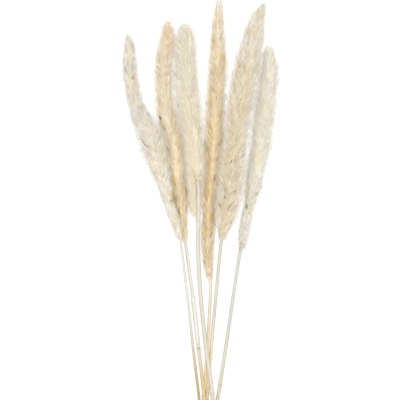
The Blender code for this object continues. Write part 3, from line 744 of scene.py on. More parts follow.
def plume_material(name, stops, spot_colour, fringe_light_and_shade_colours):
    """Silky dry plume hair whose colour follows the stops from the plume's foot to its tip, in patches."""
    material, tree, shader = new_material(name, PLUME_HAIR)
    along_plume, along_hair, aside, husk, brown, tone = (
        add_node(tree, "ShaderNodeAttribute", {"attribute_name": value}).outputs["Fac"]
        for value in ("along_plume", "along_hair", "aside", "husk", "brown", "tone"))
    where = add_node(tree, "ShaderNodeTexCoord").outputs["Object"]

    patches = add_node(tree, "ShaderNodeTexNoise", None,
                       {"Vector": where, "Scale": 1 / (PATCH_MM * MM), "Detail": 2.0})
    shift = add_node(tree, "ShaderNodeMath", {"operation": "MULTIPLY_ADD"},
                     {0: patches.outputs["Fac"], 1: PATCH_SHIFT, 2: -PATCH_SHIFT / 2})
    moved = add_node(tree, "ShaderNodeMath", {"operation": "ADD"}, {0: along_plume, 1: shift.outputs[0]})
    base = add_node(tree, "ShaderNodeValToRGB", None, {"Fac": moved.outputs[0]}, stops)

    root = add_node(tree, "ShaderNodeMapRange", None,
                    {"Value": along_hair, "From Max": ROOT_REACH, "To Min": ROOT_SHARE, "To Max": 0.0})
    rooted = add_node(tree, "ShaderNodeMix", {"data_type": "RGBA", "blend_type": "MULTIPLY"},
                      {SHARE: root.outputs[0], UNDER: base.outputs["Color"], OVER: colour(ROOT_TINT)})

    # Painted light and shade: a paler colour on the flanks and a greyer one on the loose ends.
    painted_flank_share = add_node(tree, "ShaderNodeMapRange", None,
                     {"Value": aside, "From Min": PAINTED_FRINGE_RANGE[0], "From Max": PAINTED_FRINGE_RANGE[1],
                      "To Max": PAINTED_FRINGE_SHARE})
    fringe_light_and_shade = add_node(tree, "ShaderNodeValToRGB", None, {"Fac": aside}, fringe_light_and_shade_colours)
    with_painted_fringe = add_node(tree, "ShaderNodeMix", {"data_type": "RGBA"},
                       {SHARE: painted_flank_share.outputs[0], UNDER: rooted.outputs[MIXED],
                        OVER: fringe_light_and_shade.outputs["Color"]})

    stretched = add_node(tree, "ShaderNodeMapping", None, {"Vector": where, "Scale": SPOT_STRETCH})
    spots = add_node(tree, "ShaderNodeTexNoise", None,
                     {"Vector": stretched.outputs[0], "Scale": 1 / (SPOT_MM * MM), "Detail": 3.0})
    spot = add_node(tree, "ShaderNodeMapRange", None,
                    {"Value": spots.outputs["Fac"], "From Min": SPOT_RANGE[0], "From Max": SPOT_RANGE[1],
                     "To Max": SPOT_SHARE})
    spotted = add_node(tree, "ShaderNodeMix", {"data_type": "RGBA"},
                       {SHARE: spot.outputs[0], UNDER: with_painted_fringe.outputs[MIXED], OVER: colour(spot_colour)})

    browns = add_node(tree, "ShaderNodeValToRGB", None, {"Fac": brown}, HUSK_BROWNS)
    husked = add_node(tree, "ShaderNodeMix", {"data_type": "RGBA"},
                      {SHARE: husk, UNDER: spotted.outputs[MIXED], OVER: browns.outputs["Color"]})

    brightness = add_node(tree, "ShaderNodeMapRange", {"clamp": False},
                          {"Value": tone, "To Min": TONE_RANGE[0], "To Max": TONE_RANGE[1]})
    toned = add_node(tree, "ShaderNodeVectorMath", {"operation": "SCALE"},
                     {0: husked.outputs[MIXED], "Scale": brightness.outputs[0]})
    tree.links.new(toned.outputs[0], shader.inputs["Base Color"])
    return material


print("husks run from", HUSK_BROWNS[0][1], "to", HUSK_BROWNS[-1][1])

# %% [markdown]
# One function grows the three kinds of sliver on a route, and gives each its values for the material. Under
# the hair lies a solid core, which stands for the hair too deep in the plume to be seen. It has more husks,
# and its tone is painted darker, as painted shade for that deep hair. Hair alone could fill the plume, but
# it would take many times as many slivers. The core tapers off at the foot, where the plume starts as a few
# tufts on the bare stem.

# %% Growing on a route
CORE_SHARE = 0.70
CORE_FLATNESS = 0.70
CORE_SIDES = 20
CORE_STEP = 2.1
CORE_SETBACK = 2.0
CORE_HUSK = 0.3
CORE_DEPTH = 0.3
CORE_ASIDE = 0.5
# The core's tone is kept low: painted shade for the hair deep in the plume.
CORE_PAINTED_SHADE_TONE = (0.0, 0.5)
FOOT_TAPER = 14.0
FOOT_SHARE = 0.3
THINNEST_CORE = 0.5
TUFT_TONE_SHARE = 0.75


def grow(heap, reed, route, start, knots, widths, around, rng):
    """The core and all the slivers on one route."""
    tufts = lay_tufts(route, start, knots, widths, around, reed.parting, rng)
    for kind in (DOWN, WISPS, HUSKS):
        points, faces, which, low, aside = grow_spray(route, tufts, kind, around, rng)
        middle = tufts.place[which] + tufts.rise[which] / 2
        own = tufts.tone[which] * TUFT_TONE_SHARE + rng.uniform(0.0, 1.0 - TUFT_TONE_SHARE, len(which))
        own = 0.5 + (own - 0.5) * reed.texture
        many = len(SLIVER_PLACES)
        heap.add(points, faces, husk=kind.husk * reed.texture, brown=0.0, tone=np.repeat(own, many),
                 along_plume=np.repeat((middle - start) / (route.length - start), many),
                 along_hair=(low[:, None] + (1 - low[:, None]) * SLIVER_PLACES).ravel(), aside=aside)
    places = np.arange(start - CORE_SETBACK, route.length - CORE_SETBACK, CORE_STEP)
    taper = np.clip((places - start + CORE_STEP) / FOOT_TAPER, FOOT_SHARE, 1.0)
    radii = np.maximum(np.interp(places, knots, widths) * CORE_SHARE * taper, THINNEST_CORE)
    points, faces = tube(route, places, radii, CORE_SIDES, CORE_FLATNESS)
    heap.add(points, faces, husk=CORE_HUSK, brown=0.0, tone=rng.uniform(*CORE_PAINTED_SHADE_TONE, len(points)),
             along_plume=np.repeat((places - start) / (route.length - start), CORE_SIDES),
             along_hair=CORE_DEPTH, aside=CORE_ASIDE)


print("the core takes", CORE_SHARE, "of a plume's width")

# %% [markdown]
# A few things are listed one by one, as they lie on this bunch, because random ones would look like any
# other bunch. First come the dead bracts and husks that are stuck to the hair. Each is given by its plume,
# where it lies, how long and wide it is, which way it points (in degrees, clockwise from up the bunch), and
# how brown it is.

# %% Places of the dead bracts
BRACTS = (
    (1, -75.0, 178.0, 6.0, 0.9, -12, 0.75), (1, -28.6, 46.0, 4.5, 1.1, 20, 0.85),
    (1, -32.4, 98.0, 10.0, 1.3, -16, 0.60), (1, -49.0, 112.0, 5.0, 0.8, -40, 0.30),
    (2, -39.8, 128.4, 7.5, 2.4, -12, 0.95), (2, -36.2, 118.5, 7.0, 1.6, -15, 0.50),
    (3, -5.6, 69.6, 7.0, 1.0, -36, 0.12), (3, -0.7, 70.8, 10.0, 1.1, 39, 0.15),
    (3, -21.6, 141.3, 3.6, 1.2, -20, 0.40), (3, -4.6, 66.0, 7.0, 1.3, 22, 0.35),
    (4, 4.2, 94.5, 6.0, 1.5, 2, 0.45), (4, 12.2, 220.6, 2.6, 0.8, 30, 0.80),
    (4, 13.2, 206.5, 3.0, 0.9, -25, 0.90), (4, 20.4, 209.0, 4.0, 1.1, 20, 0.55),
    (4, 13.3, 157.2, 10.0, 1.4, -33, 0.60), (4, 14.8, 68.4, 8.0, 1.9, 4, 0.58),
    (4, 12.0, 28.0, 14.0, 1.9, 2, 0.52), (5, 21.6, 105.5, 12.0, 1.3, 15, 0.62),
    (5, 39.0, 180.4, 7.0, 1.3, 25, 0.40), (5, 40.5, 147.0, 5.0, 1.0, 20, 0.72),
    (5, 31.0, 85.2, 7.0, 1.6, 30, 0.92), (5, 43.6, 92.0, 9.0, 1.3, 35, 0.55),
    (5, 35.0, 55.4, 5.0, 1.5, 12, 0.65), (5, 24.6, 49.5, 4.0, 1.4, 0, 0.72),
    (5, 19.7, 41.3, 10.0, 1.3, -33, 0.72), (5, 29.0, 40.2, 11.0, 1.1, 33, 0.78),
    (5, 30.6, 24.0, 7.0, 1.0, 38, 0.65), (6, 46.6, 40.4, 5.5, 1.3, 2, 0.85),
    (6, 39.8, -1.5, 6.0, 1.0, 8, 0.60), (6, 57.0, 53.5, 7.0, 1.0, 38, 0.60),
    (1, -36.4, 71.0, 3.2, 1.0, 10, 0.80), (1, -67.0, 169.0, 4.0, 1.6, -10, 0.40),
    (4, 12.3, 31.0, 9.0, 1.7, 6, 0.50), (4, 11.8, 14.0, 8.0, 1.5, -6, 0.50),
    (4, 8.0, 20.0, 9.0, 1.2, 14, 0.30), (4, 9.6, -4.0, 10.0, 1.2, 8, 0.30),
    (4, 10.8, 66.0, 11.0, 1.3, -14, 0.40), (4, 15.6, 50.0, 9.0, 1.5, 12, 0.48),
    (4, 16.5, 149.0, 4.0, 1.0, 0, 0.50), (4, 18.8, 131.4, 5.0, 1.0, 15, 0.48),
    (5, 23.0, 113.0, 6.0, 1.4, 20, 0.60),
)
print(len(BRACTS), "dead bracts")

# %% [markdown]
# Then come the golden bracts that reach from one plume over to the next, and loose wisps that stand away
# from a plume. Each is given by its plume, three points, its width and how brown it is.

# %% Places of the golden bracts and wisps
WISPS_APART = (
    (1, (-59.4, 109.6, 20.4), (-54.6, 101.6, 22.6), (-46.4, 96.6, 24.6), 1.2, 0.76),
    (1, (-72.2, 208.5, 3.2), (-72.9, 212.0, 3.4), (-72.6, 216.0, 3.6), 0.45, 0.60),
    (1, (-28.3, 71.6, 16.5), (-26.4, 65.0, 18.2), (-23.6, 58.4, 15.6), 3.6, 0.56),
    (1, (-27.1, 56.6, 16.4), (-25.2, 48.0, 17.8), (-22.9, 39.0, 14.6), 3.4, 0.58),
    (2, (-23.1, 42.0, 14.2), (-21.2, 35.4, 15.4), (-18.6, 28.4, 11.6), 1.8, 0.62),
    (2, (-15.6, 64.0, 12.6), (-14.4, 56.0, 14.0), (-13.2, 47.0, 12.0), 1.9, 0.62),
    (1, (-50.4, 126.0, 12.0), (-53.4, 134.0, 12.6), (-54.4, 145.5, 12.0), 0.70, 0.20),
    (1, (-49.6, 124.0, 12.0), (-51.6, 132.0, 12.8), (-51.9, 143.0, 12.6), 0.60, 0.30),
    (1, (-48.6, 121.0, 12.4), (-49.8, 128.0, 12.6), (-50.2, 137.0, 12.4), 0.60, 0.15),
    (5, (61.6, 236.0, 5.4), (64.0, 241.5, 5.6), (66.2, 246.2, 5.0), 0.60, 0.05),
    (5, (60.0, 235.0, 5.4), (61.4, 241.0, 5.6), (62.6, 247.0, 5.0), 0.60, 0.08),
    (5, (62.6, 234.0, 5.4), (65.8, 239.5, 5.6), (68.4, 243.0, 5.0), 0.60, 0.10),
    (5, (57.8, 232.0, 5.4), (58.6, 237.0, 5.6), (59.6, 242.0, 5.0), 0.50, 0.05),
    (5, (53.4, 224.0, 7.0), (51.6, 229.0, 7.4), (50.8, 233.5, 7.6), 0.34, 0.05),
)
print(len(WISPS_APART), "golden bracts and wisps")

# %% [markdown]
# A bract is one flat-lying sliver. Its ends rest on the round upper side of the plume, and its middle
# stands a little off it. A wisp goes through its three points just as they are.

# %% Bracts and loose wisps
BRACT_LIFT = 2.0
BRACT_VALUES = {"husk": 1.0, "tone": 0.7, "aside": 0.0, "along_plume": 0.5, "along_hair": 1.0}


def on_top(route, knots, widths, x, y):
    """The point on the upper side of a plume over a point of the table."""
    nearest = np.argmin(np.hypot(route.points[:, 0] - x, route.points[:, 1] - y))
    width = np.interp(route.lengths[nearest], knots, widths)
    aside = np.hypot(route.points[nearest, 0] - x, route.points[nearest, 1] - y) / width
    height = FLATNESS * width * math.sqrt(max(1 - aside ** 2, 0.0))
    return np.array((x, y, route.points[nearest, 2] + height))


def add_extras(heap, reed, route, knots, widths, rng):
    """The bracts and loose wisps of one reed."""
    for number, x, y, length, width, degrees, brown in BRACTS:
        if number == reed.number:
            angle = math.radians(degrees)
            half = np.array((math.sin(angle), math.cos(angle))) * length / 2
            middle = on_top(route, knots, widths, x, y) + UP * BRACT_LIFT
            ends = [on_top(route, knots, widths, x + sign * half[0], y + sign * half[1])
                    for sign in (-1, 1)]
            points, faces = slivers(ends[0][None], middle[None], ends[1][None], np.array([width]), rng)
            heap.add(points, faces, brown=brown, **BRACT_VALUES)
    for number, root, middle, tip, width, brown in WISPS_APART:
        if number == reed.number:
            points, faces = slivers(*(np.array([point]) for point in (root, middle, tip)),
                                    np.array([width]), rng)
            heap.add(points, faces, brown=brown, **BRACT_VALUES)


print("the middle of a bract stands", BRACT_LIFT, "mm off the plume")

# %% [markdown]
# Two of the plumes, the tan and the golden one, shed: loose strands lean out over both flanks of their
# lower half. Each runs through three points, given by how far up the plume they lie in millimetres, and how
# far aside and above its axis in shares of its half width. They draw from a seed of their own.

# %% Loose strands
STRAND_SEED = 200
STRAND_PATH = ((0.0, 0.35, 0.70), (8.0, 0.95, 0.85), (15.0, 1.40, 0.65))
STRAND_ASIDE = (0.7, 1.1)
STRAND_WIDTH = (0.45, 0.85)
STRAND_BROWN = (0.0, 0.45)
STRAND_TONE = (0.2, 1.0)
STRAND_VALUES = {"husk": 0.6, "aside": 0.5, "along_hair": 1.0}


def add_strands(heap, reed, route, knots, widths):
    """Loose strands that lean out over both flanks between two shares of a plume's length."""
    rng = np.random.default_rng(STRAND_SEED + reed.number)
    count, low, high = reed.strands
    place = knots[0] + (route.length - knots[0]) * rng.uniform(low, high, count)
    side = rng.choice((-1.0, 1.0), count) * rng.uniform(*STRAND_ASIDE, count)
    half = np.interp(place, knots, widths)
    path = []
    for ahead, aside, above in STRAND_PATH:
        across = route.frame(place + ahead)[1]
        path.append(route.at(place + ahead) + across * (side * half * aside)[:, None]
                    + UP * (half * above)[:, None])
    points, faces = slivers(*path, rng.uniform(*STRAND_WIDTH, count), rng)
    many = len(SLIVER_PLACES)
    heap.add(points, faces, brown=np.repeat(rng.uniform(*STRAND_BROWN, count), many),
             tone=np.repeat(rng.uniform(*STRAND_TONE, count), many),
             along_plume=np.repeat((place - knots[0]) / (route.length - knots[0]), many), **STRAND_VALUES)


print("strands on each plume:", [reed.strands[0] if reed.strands else 0 for reed in REEDS])

# %% [markdown]
# Now each reed gets its whole plume: the main route, any side branch on its own short route, the part of
# the axis that shows in front of the hair on the third reed, and the bracts. The bare axis is smooth and
# hard, so its tone is lower than any hair's to look as bright.

# %% The six plumes
PLUME_SEED = 100
PLUME_START = 1.0
BRANCH_TUFTS_ROUND = 6
AXIS_STEP = 2.0
AXIS_SIDES = 12
AXIS_VALUES = {"husk": 0.0, "brown": 0.0, "tone": -0.25, "aside": 1.0, "along_plume": 0.0,
               "along_hair": 1.0}


def grow_plume(reed):
    """A reed's plume as one piece that stands for the solid."""
    rng = np.random.default_rng(PLUME_SEED + reed.number)
    heap = Heap()
    route = Route((*reed.stem, *reed.plume))
    knots = route.knots[len(reed.stem):]
    widths = [point[3] for point in reed.plume]
    grow(heap, reed, route, knots[0] + PLUME_START, knots, widths, reed.tufts_round, rng)
    for branch_points in reed.branches:
        branch = Route(branch_points)
        grow(heap, reed, branch, PLUME_START, branch.knots, [point[3] for point in branch_points],
             BRANCH_TUFTS_ROUND, rng)
    if reed.bare_axis:
        axis = Route(reed.bare_axis)
        places = np.arange(0.0, axis.length, AXIS_STEP)
        radii = np.interp(places, axis.knots, [point[3] for point in reed.bare_axis])
        points, faces = tube(axis, places, radii, AXIS_SIDES)
        heap.add(points, faces, **AXIS_VALUES)
    add_extras(heap, reed, route, knots, widths, rng)
    if reed.strands:
        add_strands(heap, reed, route, knots, widths)
    make_piece(heap, f"plume_{reed.number}_hair", f"plume_{reed.number}",
               plume_material(f"silky_plume_hair_{reed.number}", reed.plume_colours, reed.spots,
                              reed.fringe_light_and_shade))


for reed in REEDS:
    grow_plume(reed)

# %% [markdown]
# The material of the stems is dry reed straw: a hard, smooth skin with fine lengthwise fibres 0.4 mm apart,
# paler or darker in long streaks. Light has bleached it to a pale grey under the plumes, and it is still
# yellow near the cut end. A joint shows as a thin dark line, with a pale ring over it, where a leaf was
# once attached. An image of straw would need a seam along the stem, and noise needs none. It is laid out by
# millimetres across and along the stem, which are stored on the points, so the fibres follow every bend.
# They are a little coarser than real ones, which are too fine to show.

# %% Straw material
# Dry straw, grown with a waxy skin: it gives the eye a satin gloss along the stem.
STRAW_SKIN = {"Roughness": 0.5, "Specular IOR Level": 0.4}
FIBRE_MM = 0.4
FIBRE_LENGTH_MM = 30.0
FIBRE_TONES = (0.94, 1.04)
STREAK_MM = 2.5
STREAK_LENGTH_MM = 60.0
STREAK_TONES = (0.93, 1.05)
NOISE_RANGE = (0.3, 0.7)
BLEACHED_STRAW = "#cfccc2"
# The brown of the joint lines, which is also painted inside the bore as painted shade.
JOINT_LINE_AND_BORE_SHADE_BROWN = "#6e5b4c"


def straw_material(name, low_colour, top_colour):
    """Dry straw that runs from one colour at the cut end to another at the plume."""
    material, tree, shader = new_material(name, STRAW_SKIN)
    across, up, along, greyed, pale, dark = (
        add_node(tree, "ShaderNodeAttribute", {"attribute_name": value}).outputs["Fac"]
        for value in ("across_mm", "up_mm", "along_mm", "greyed", "pale", "dark"))

    def grain(width, length, tones):
        """The tone of fibres of one size: noise that is stretched along the stem."""
        parts = {}
        for axis, (value, size) in enumerate(((across, width), (up, width), (along, length))):
            scaled = add_node(tree, "ShaderNodeMath", {"operation": "MULTIPLY"}, {0: value, 1: 1 / size})
            parts[axis] = scaled.outputs[0]
        vector = add_node(tree, "ShaderNodeCombineXYZ", None, parts)
        noise = add_node(tree, "ShaderNodeTexNoise", None,
                         {"Vector": vector.outputs[0], "Scale": 1.0, "Detail": 2.0})
        return add_node(tree, "ShaderNodeMapRange", None,
                        {"Value": noise.outputs["Fac"], "From Min": NOISE_RANGE[0],
                         "From Max": NOISE_RANGE[1], "To Min": tones[0], "To Max": tones[1]}).outputs[0]

    base = add_node(tree, "ShaderNodeValToRGB", None, {"Fac": greyed},
                    ((0.0, low_colour), (1.0, top_colour)))
    shade = add_node(tree, "ShaderNodeMath", {"operation": "MULTIPLY"},
                     {0: grain(STREAK_MM, STREAK_LENGTH_MM, STREAK_TONES),
                      1: grain(FIBRE_MM, FIBRE_LENGTH_MM, FIBRE_TONES)})
    grained = add_node(tree, "ShaderNodeVectorMath", {"operation": "SCALE"},
                       {0: base.outputs["Color"], "Scale": shade.outputs[0]})
    ringed = add_node(tree, "ShaderNodeMix", {"data_type": "RGBA"},
                      {SHARE: pale, UNDER: grained.outputs[0], OVER: colour(BLEACHED_STRAW)})
    # Joint lines are the straw's own marks, and the same brown inside the bore is painted shade.
    joint_lined_and_bore_shaded = add_node(tree, "ShaderNodeMix", {"data_type": "RGBA"},
                     {SHARE: dark, UNDER: ringed.outputs[MIXED], OVER: colour(JOINT_LINE_AND_BORE_SHADE_BROWN)})
    tree.links.new(joint_lined_and_bore_shaded.outputs[MIXED], shader.inputs["Base Color"])
    return material


print("fibres", FIBRE_MM, "mm apart, streaks", STREAK_MM, "mm wide")

# %% [markdown]
# A stem is one tube from its cut end into the foot of its plume. Its joints could be rings pushed onto a
# plain tube, but a joint is grown in one piece with its stem. So the tube's rings stand closer there, where
# the stem swells and a thin groove runs round it. The four rows of joint numbers go together: how far each
# ring is from the joint, how thick the stem is there, how dark and how pale. The cut end is hollow, as reed
# is, so the tube starts inside the bore, comes out of it and turns over the rim. Inside the bore the straw
# is painted dark brown, as painted shade in the hollow, fading towards the rim. GREYING gives the distances
# from the cut end between which the yellow turns to grey.

# %% Stems
STEM_SIDES = 16
STEM_STEP = 5.0
INTO_PLUME = 9.0
JOINT_RINGS = (-2.4, -1.4, -0.8, -0.45, -0.15, 0.15, 0.5, 1.0, 1.7, 2.6)
JOINT_SHAPE = (1.0, 1.08, 1.18, 1.2, 1.04, 1.08, 1.22, 1.2, 1.08, 1.0)
JOINT_DARK = (0.0, 0.0, 0.25, 0.7, 0.9, 0.5, 0.0, 0.0, 0.0, 0.0)
JOINT_PALE = (0.0, 0.0, 0.0, 0.0, 0.0, 0.3, 0.8, 0.8, 0.4, 0.0)
BORE_DEPTH = 12.0
BORE_SHARE = 0.55
BORE_PAINTED_SHADE = (1.0, 0.3)
GREYING = (105.0, 180.0)


def ring_values(places, radii):
    """The values that the straw material needs, for tube rings at some places with some radii."""
    angle = 2 * math.pi * np.arange(STEM_SIDES) / STEM_SIDES
    return {"across_mm": np.outer(radii, np.cos(angle)).ravel(),
            "up_mm": np.outer(radii, np.sin(angle)).ravel(), "along_mm": np.repeat(places, STEM_SIDES),
            "greyed": np.repeat(np.interp(places, GREYING, (0.0, 1.0)), STEM_SIDES)}


def add_stem(heap, reed, route, seat):
    """The stem's tube, with its joints and its hollow cut end."""
    joints = [share * seat for share in reed.joints]
    top = seat + INTO_PLUME
    places = [place for place in np.arange(0.0, top, STEM_STEP)
              if all(abs(place - joint) > JOINT_RINGS[-1] for joint in joints)]
    places = np.array(sorted([*places, top, *(joint + d for joint in joints for d in JOINT_RINGS)]))
    radii = reed.radius_low + (reed.radius_top - reed.radius_low) * places / seat
    dark, pale = np.zeros(len(places)), np.zeros(len(places))
    for joint in joints:
        radii = radii * np.interp(places - joint, JOINT_RINGS, JOINT_SHAPE)
        dark = dark + reed.marks * np.interp(places - joint, JOINT_RINGS, JOINT_DARK)
        pale = pale + reed.marks * np.interp(places - joint, JOINT_RINGS, JOINT_PALE)
    # Inside the bore the straw gets painted shade, darkest at the bottom of the hollow.
    bore = reed.radius_low * BORE_SHARE
    places = np.concatenate([[BORE_DEPTH, 0.0], places])
    radii = np.concatenate([[bore, bore], radii])
    dark, pale = np.concatenate([BORE_PAINTED_SHADE, dark]), np.concatenate([[0.0, 0.0], pale])
    points, faces = tube(route, places, radii, STEM_SIDES)
    heap.add(points, faces, dark=np.repeat(dark, STEM_SIDES), pale=np.repeat(pale, STEM_SIDES),
             **ring_values(places, radii))


print("a joint has", len(JOINT_RINGS), "rings in", JOINT_RINGS[-1] - JOINT_RINGS[0], "mm")

# %% [markdown]
# The second reed still has a leaf sheath: a thin pale sleeve that hugs the stem above its joint and ends in
# a slanted rim. A paler stretch of stem would do from afar, but close up it would miss that rim. The sheath
# is a skin that runs down inside, up outside and back into its own start, and it is a little wavy along its
# length, as a dry leaf is.

# %% Leaf sheath
SHEATH_SHARES = (1.06, 1.24)
SHEATH_WAVE = 0.04
SHEATH_WAVE_RATE = 0.3
SHEATH_SLANT = 5.0
SHEATH_SLANT_TURN = 0.1
SHEATH_PALE = 0.75


def add_sheath(heap, reed, route, seat):
    """A sleeve round the stem between two shares of its length, with a slanted upper rim."""
    low, high = (share * seat for share in reed.sheath)
    along = np.arange(low, high, STEM_STEP)
    radius = (reed.radius_low + reed.radius_top) / 2
    outer = radius * (SHEATH_SHARES[1] + SHEATH_WAVE * np.sin(along * SHEATH_WAVE_RATE))
    inner = np.full(len(along), radius * SHEATH_SHARES[0])
    places = np.concatenate([along[::-1], along])
    radii = np.concatenate([inner, outer])
    turns = np.arange(STEM_SIDES) / STEM_SIDES
    slant = SHEATH_SLANT * np.cos(2 * math.pi * (turns - SHEATH_SLANT_TURN)) / 2
    rings = np.array([route.beside(place + slant * (place - low) / (high - low), turns,
                                   np.full(STEM_SIDES, size)) for place, size in zip(places, radii)])
    points, faces = skin(rings, looped=True)
    heap.add(points, faces, dark=0.0, pale=SHEATH_PALE, **ring_values(places, radii))


print("reeds with a leaf sheath:", [reed.number for reed in REEDS if reed.sheath])

# %% [markdown]
# Every stem follows its reed's whole line, so it runs straight on into the axis of the plume. Its seat is
# the first point of the plume.

# %% The six stems
for reed in REEDS:
    heap = Heap()
    route = Route((*reed.stem, *reed.plume))
    seat = route.knots[len(reed.stem)]
    add_stem(heap, reed, route, seat)
    if reed.sheath:
        add_sheath(heap, reed, route, seat)
    make_piece(heap, f"stem_{reed.number}_straw", f"stem_{reed.number}",
               straw_material(f"dry_reed_straw_{reed.number}", *reed.stem_colours))

# %% [markdown]
# The tie is raffia: a dry palm-leaf strip, matt and fibrous, that splits into threads. One strip winds
# round the stems four times, crosses itself in a knot on top and ends in two frayed tails. A strip is a
# flat ribbon with a few ridges along it. Its middle line, the way it faces and its width are given by
# arrays, so the turns, the knot and the tails are all made by one function.

# %% Raffia ribbons
STRIP_THICKNESS = 0.42
RIDGES = 5
RIDGE_HEIGHT = 0.22
RIDGE_RANGE = (0.6, 1.2)
STRIP_WANDER = 0.05


def add_ribbon(heap, centres, faces_to, half_widths, tone, rng):
    """A ribbon along points: each ring lies across the way there, its ridged side towards faces_to."""
    along = np.gradient(centres, axis=0)
    along = along / np.linalg.norm(along, axis=1, keepdims=True)
    across = np.cross(along, faces_to)
    across = across / np.linalg.norm(across, axis=1, keepdims=True)
    out = np.cross(across, along)
    steps = np.linspace(-1.0, 1.0, 2 * RIDGES + 1)
    ridge = np.where(np.arange(len(steps)) % 2 == 1, RIDGE_HEIGHT, 0.0)
    ridge = ridge * rng.uniform(*RIDGE_RANGE, len(steps))
    wander = rng.normal(size=(len(centres), 1, 1)) * STRIP_WANDER
    upper = (centres[:, None] + across[:, None] * steps[None, :, None] * half_widths[:, None, None]
             + out[:, None] * (STRIP_THICKNESS / 2 + ridge[None, :, None] + wander))
    lower = (centres[:, None] + across[:, None] * steps[None, ::-1, None] * half_widths[:, None, None]
             - out[:, None] * STRIP_THICKNESS / 2)
    points, faces = skin(np.concatenate([lower, upper], axis=1))
    where = np.concatenate([steps[::-1], steps])
    length = np.concatenate([[0.0], np.cumsum(np.linalg.norm(np.diff(centres, axis=0), axis=1))])
    heap.add(points, faces, across_mm=np.tile(where, len(centres)) * half_widths[0],
             along_mm=np.repeat(length, len(where)), tone=tone)


print("a strip is", STRIP_THICKNESS, "mm thick and has", RIDGES, "ridges")

# %% [markdown]
# The raffia's colour is the tan of dried leaf, with paler and darker fibres 0.35 mm wide that run for
# centimetres, and each strip has a tone of its own. That tone also moves the noise, so that no two strips
# have the same fibres.

# %% Raffia material
# Dried palm leaf, split and untreated: it gives the eye a matt strip with a hint of gloss on its ridges.
RAFFIA_LEAF = {"Roughness": 0.75, "Specular IOR Level": 0.3}
RAFFIA_FIBRE_MM = 0.35
RAFFIA_FIBRE_LENGTH_MM = 25.0
RAFFIA_TANS = ((0.25, "#a5824f"), (0.5, "#c6a26b"), (0.75, "#dcc08c"))
STRIP_TONES = (0.85, 1.08)

raffia, raffia_tree, raffia_shader = new_material("dry_raffia_leaf", RAFFIA_LEAF)
strip_across, strip_along, strip_tone = (
    add_node(raffia_tree, "ShaderNodeAttribute", {"attribute_name": value}).outputs["Fac"]
    for value in ("across_mm", "along_mm", "tone"))
fibre_place = add_node(raffia_tree, "ShaderNodeMath", {"operation": "MULTIPLY"},
                       {0: strip_across, 1: 1 / RAFFIA_FIBRE_MM})
fibre_run = add_node(raffia_tree, "ShaderNodeMath", {"operation": "MULTIPLY"},
                     {0: strip_along, 1: 1 / RAFFIA_FIBRE_LENGTH_MM})
fibre_vector = add_node(raffia_tree, "ShaderNodeCombineXYZ", None,
                        {0: fibre_place.outputs[0], 1: fibre_run.outputs[0], 2: strip_tone})
fibre_noise = add_node(raffia_tree, "ShaderNodeTexNoise", None,
                       {"Vector": fibre_vector.outputs[0], "Scale": 1.0, "Detail": 3.0})
fibre_tan = add_node(raffia_tree, "ShaderNodeValToRGB", None, {"Fac": fibre_noise.outputs["Fac"]},
                     RAFFIA_TANS)
strip_shade = add_node(raffia_tree, "ShaderNodeMapRange", None,
                       {"Value": strip_tone, "To Min": STRIP_TONES[0], "To Max": STRIP_TONES[1]})
strip_colour = add_node(raffia_tree, "ShaderNodeVectorMath", {"operation": "SCALE"},
                        {0: fibre_tan.outputs["Color"], "Scale": strip_shade.outputs[0]})
raffia_tree.links.new(strip_colour.outputs[0], raffia_shader.inputs["Base Color"])
print("raffia has", len(raffia_tree.nodes), "nodes")

# %% [markdown]
# The strip follows a rounded box round the two layers of stems. Four closed rings would be simpler, but a
# real strip is wound. A spring shape with four turns carries it along the bunch, each turn slightly over
# the edge of the last, and it wavers a little on its way.

# %% The turns of the tie
TIE_SEED = 60
TIE_TURNS = 4
TURN_STEPS = 48
TURN_PITCH = 2.55
TURN_HALF_WIDTH = 1.5
TURN_TONE = 0.45
TURN_SEAT = 0.8
TURN_WAVER = 0.15
TURN_WAVER_RATE = 5.0
TIE_HALF_X = 6.85
TIE_HALF_Z = 4.7
BOX_POWER = 5.0
TIE_MIDDLE = np.array((TIE_X, TIE_Y, (LOW_LAYER + HIGH_LAYER) / 2))


def round_box(angle):
    """Points on a box with round corners round the stems, and the way out at each."""
    x, z = np.cos(angle), np.sin(angle)
    near = (np.abs(x) / TIE_HALF_X) ** BOX_POWER + (np.abs(z) / TIE_HALF_Z) ** BOX_POWER
    size = near ** (-1 / BOX_POWER)
    x, z, level = x * size, z * size, np.zeros_like(x)
    out = np.stack([np.sign(x) * (np.abs(x) / TIE_HALF_X) ** (BOX_POWER - 1) / TIE_HALF_X, level,
                    np.sign(z) * (np.abs(z) / TIE_HALF_Z) ** (BOX_POWER - 1) / TIE_HALF_Z], -1)
    return np.stack([x, level, z], -1), out / np.linalg.norm(out, axis=1, keepdims=True)


rng = np.random.default_rng(TIE_SEED)
tie_heap = Heap()
turns_done = np.linspace(0.0, TIE_TURNS, TIE_TURNS * TURN_STEPS)
box_points, box_out = round_box(math.pi / 2 + 2 * math.pi * turns_done)
centres = TIE_MIDDLE + box_points + box_out * STRIP_THICKNESS * TURN_SEAT
centres[:, 1] += ((turns_done - TIE_TURNS / 2) * TURN_PITCH
                  + np.sin(turns_done * TURN_WAVER_RATE) * TURN_WAVER)
add_ribbon(tie_heap, centres, box_out, np.full(len(centres), TURN_HALF_WIDTH), TURN_TONE, rng)
print("round the stems goes", round(np.linalg.norm(np.diff(centres, axis=0), axis=1).sum()), "mm of strip")

# %% [markdown]
# The knot is two short stretches of the strip that cross on top of the turns. A whole knot would hide its
# other loops under these, where nothing shows them, so they are left out. The strip is wide where it
# spreads over them and narrow where it is pulled tight. The points of the knot and the tails are counted
# from the middle of the tie.

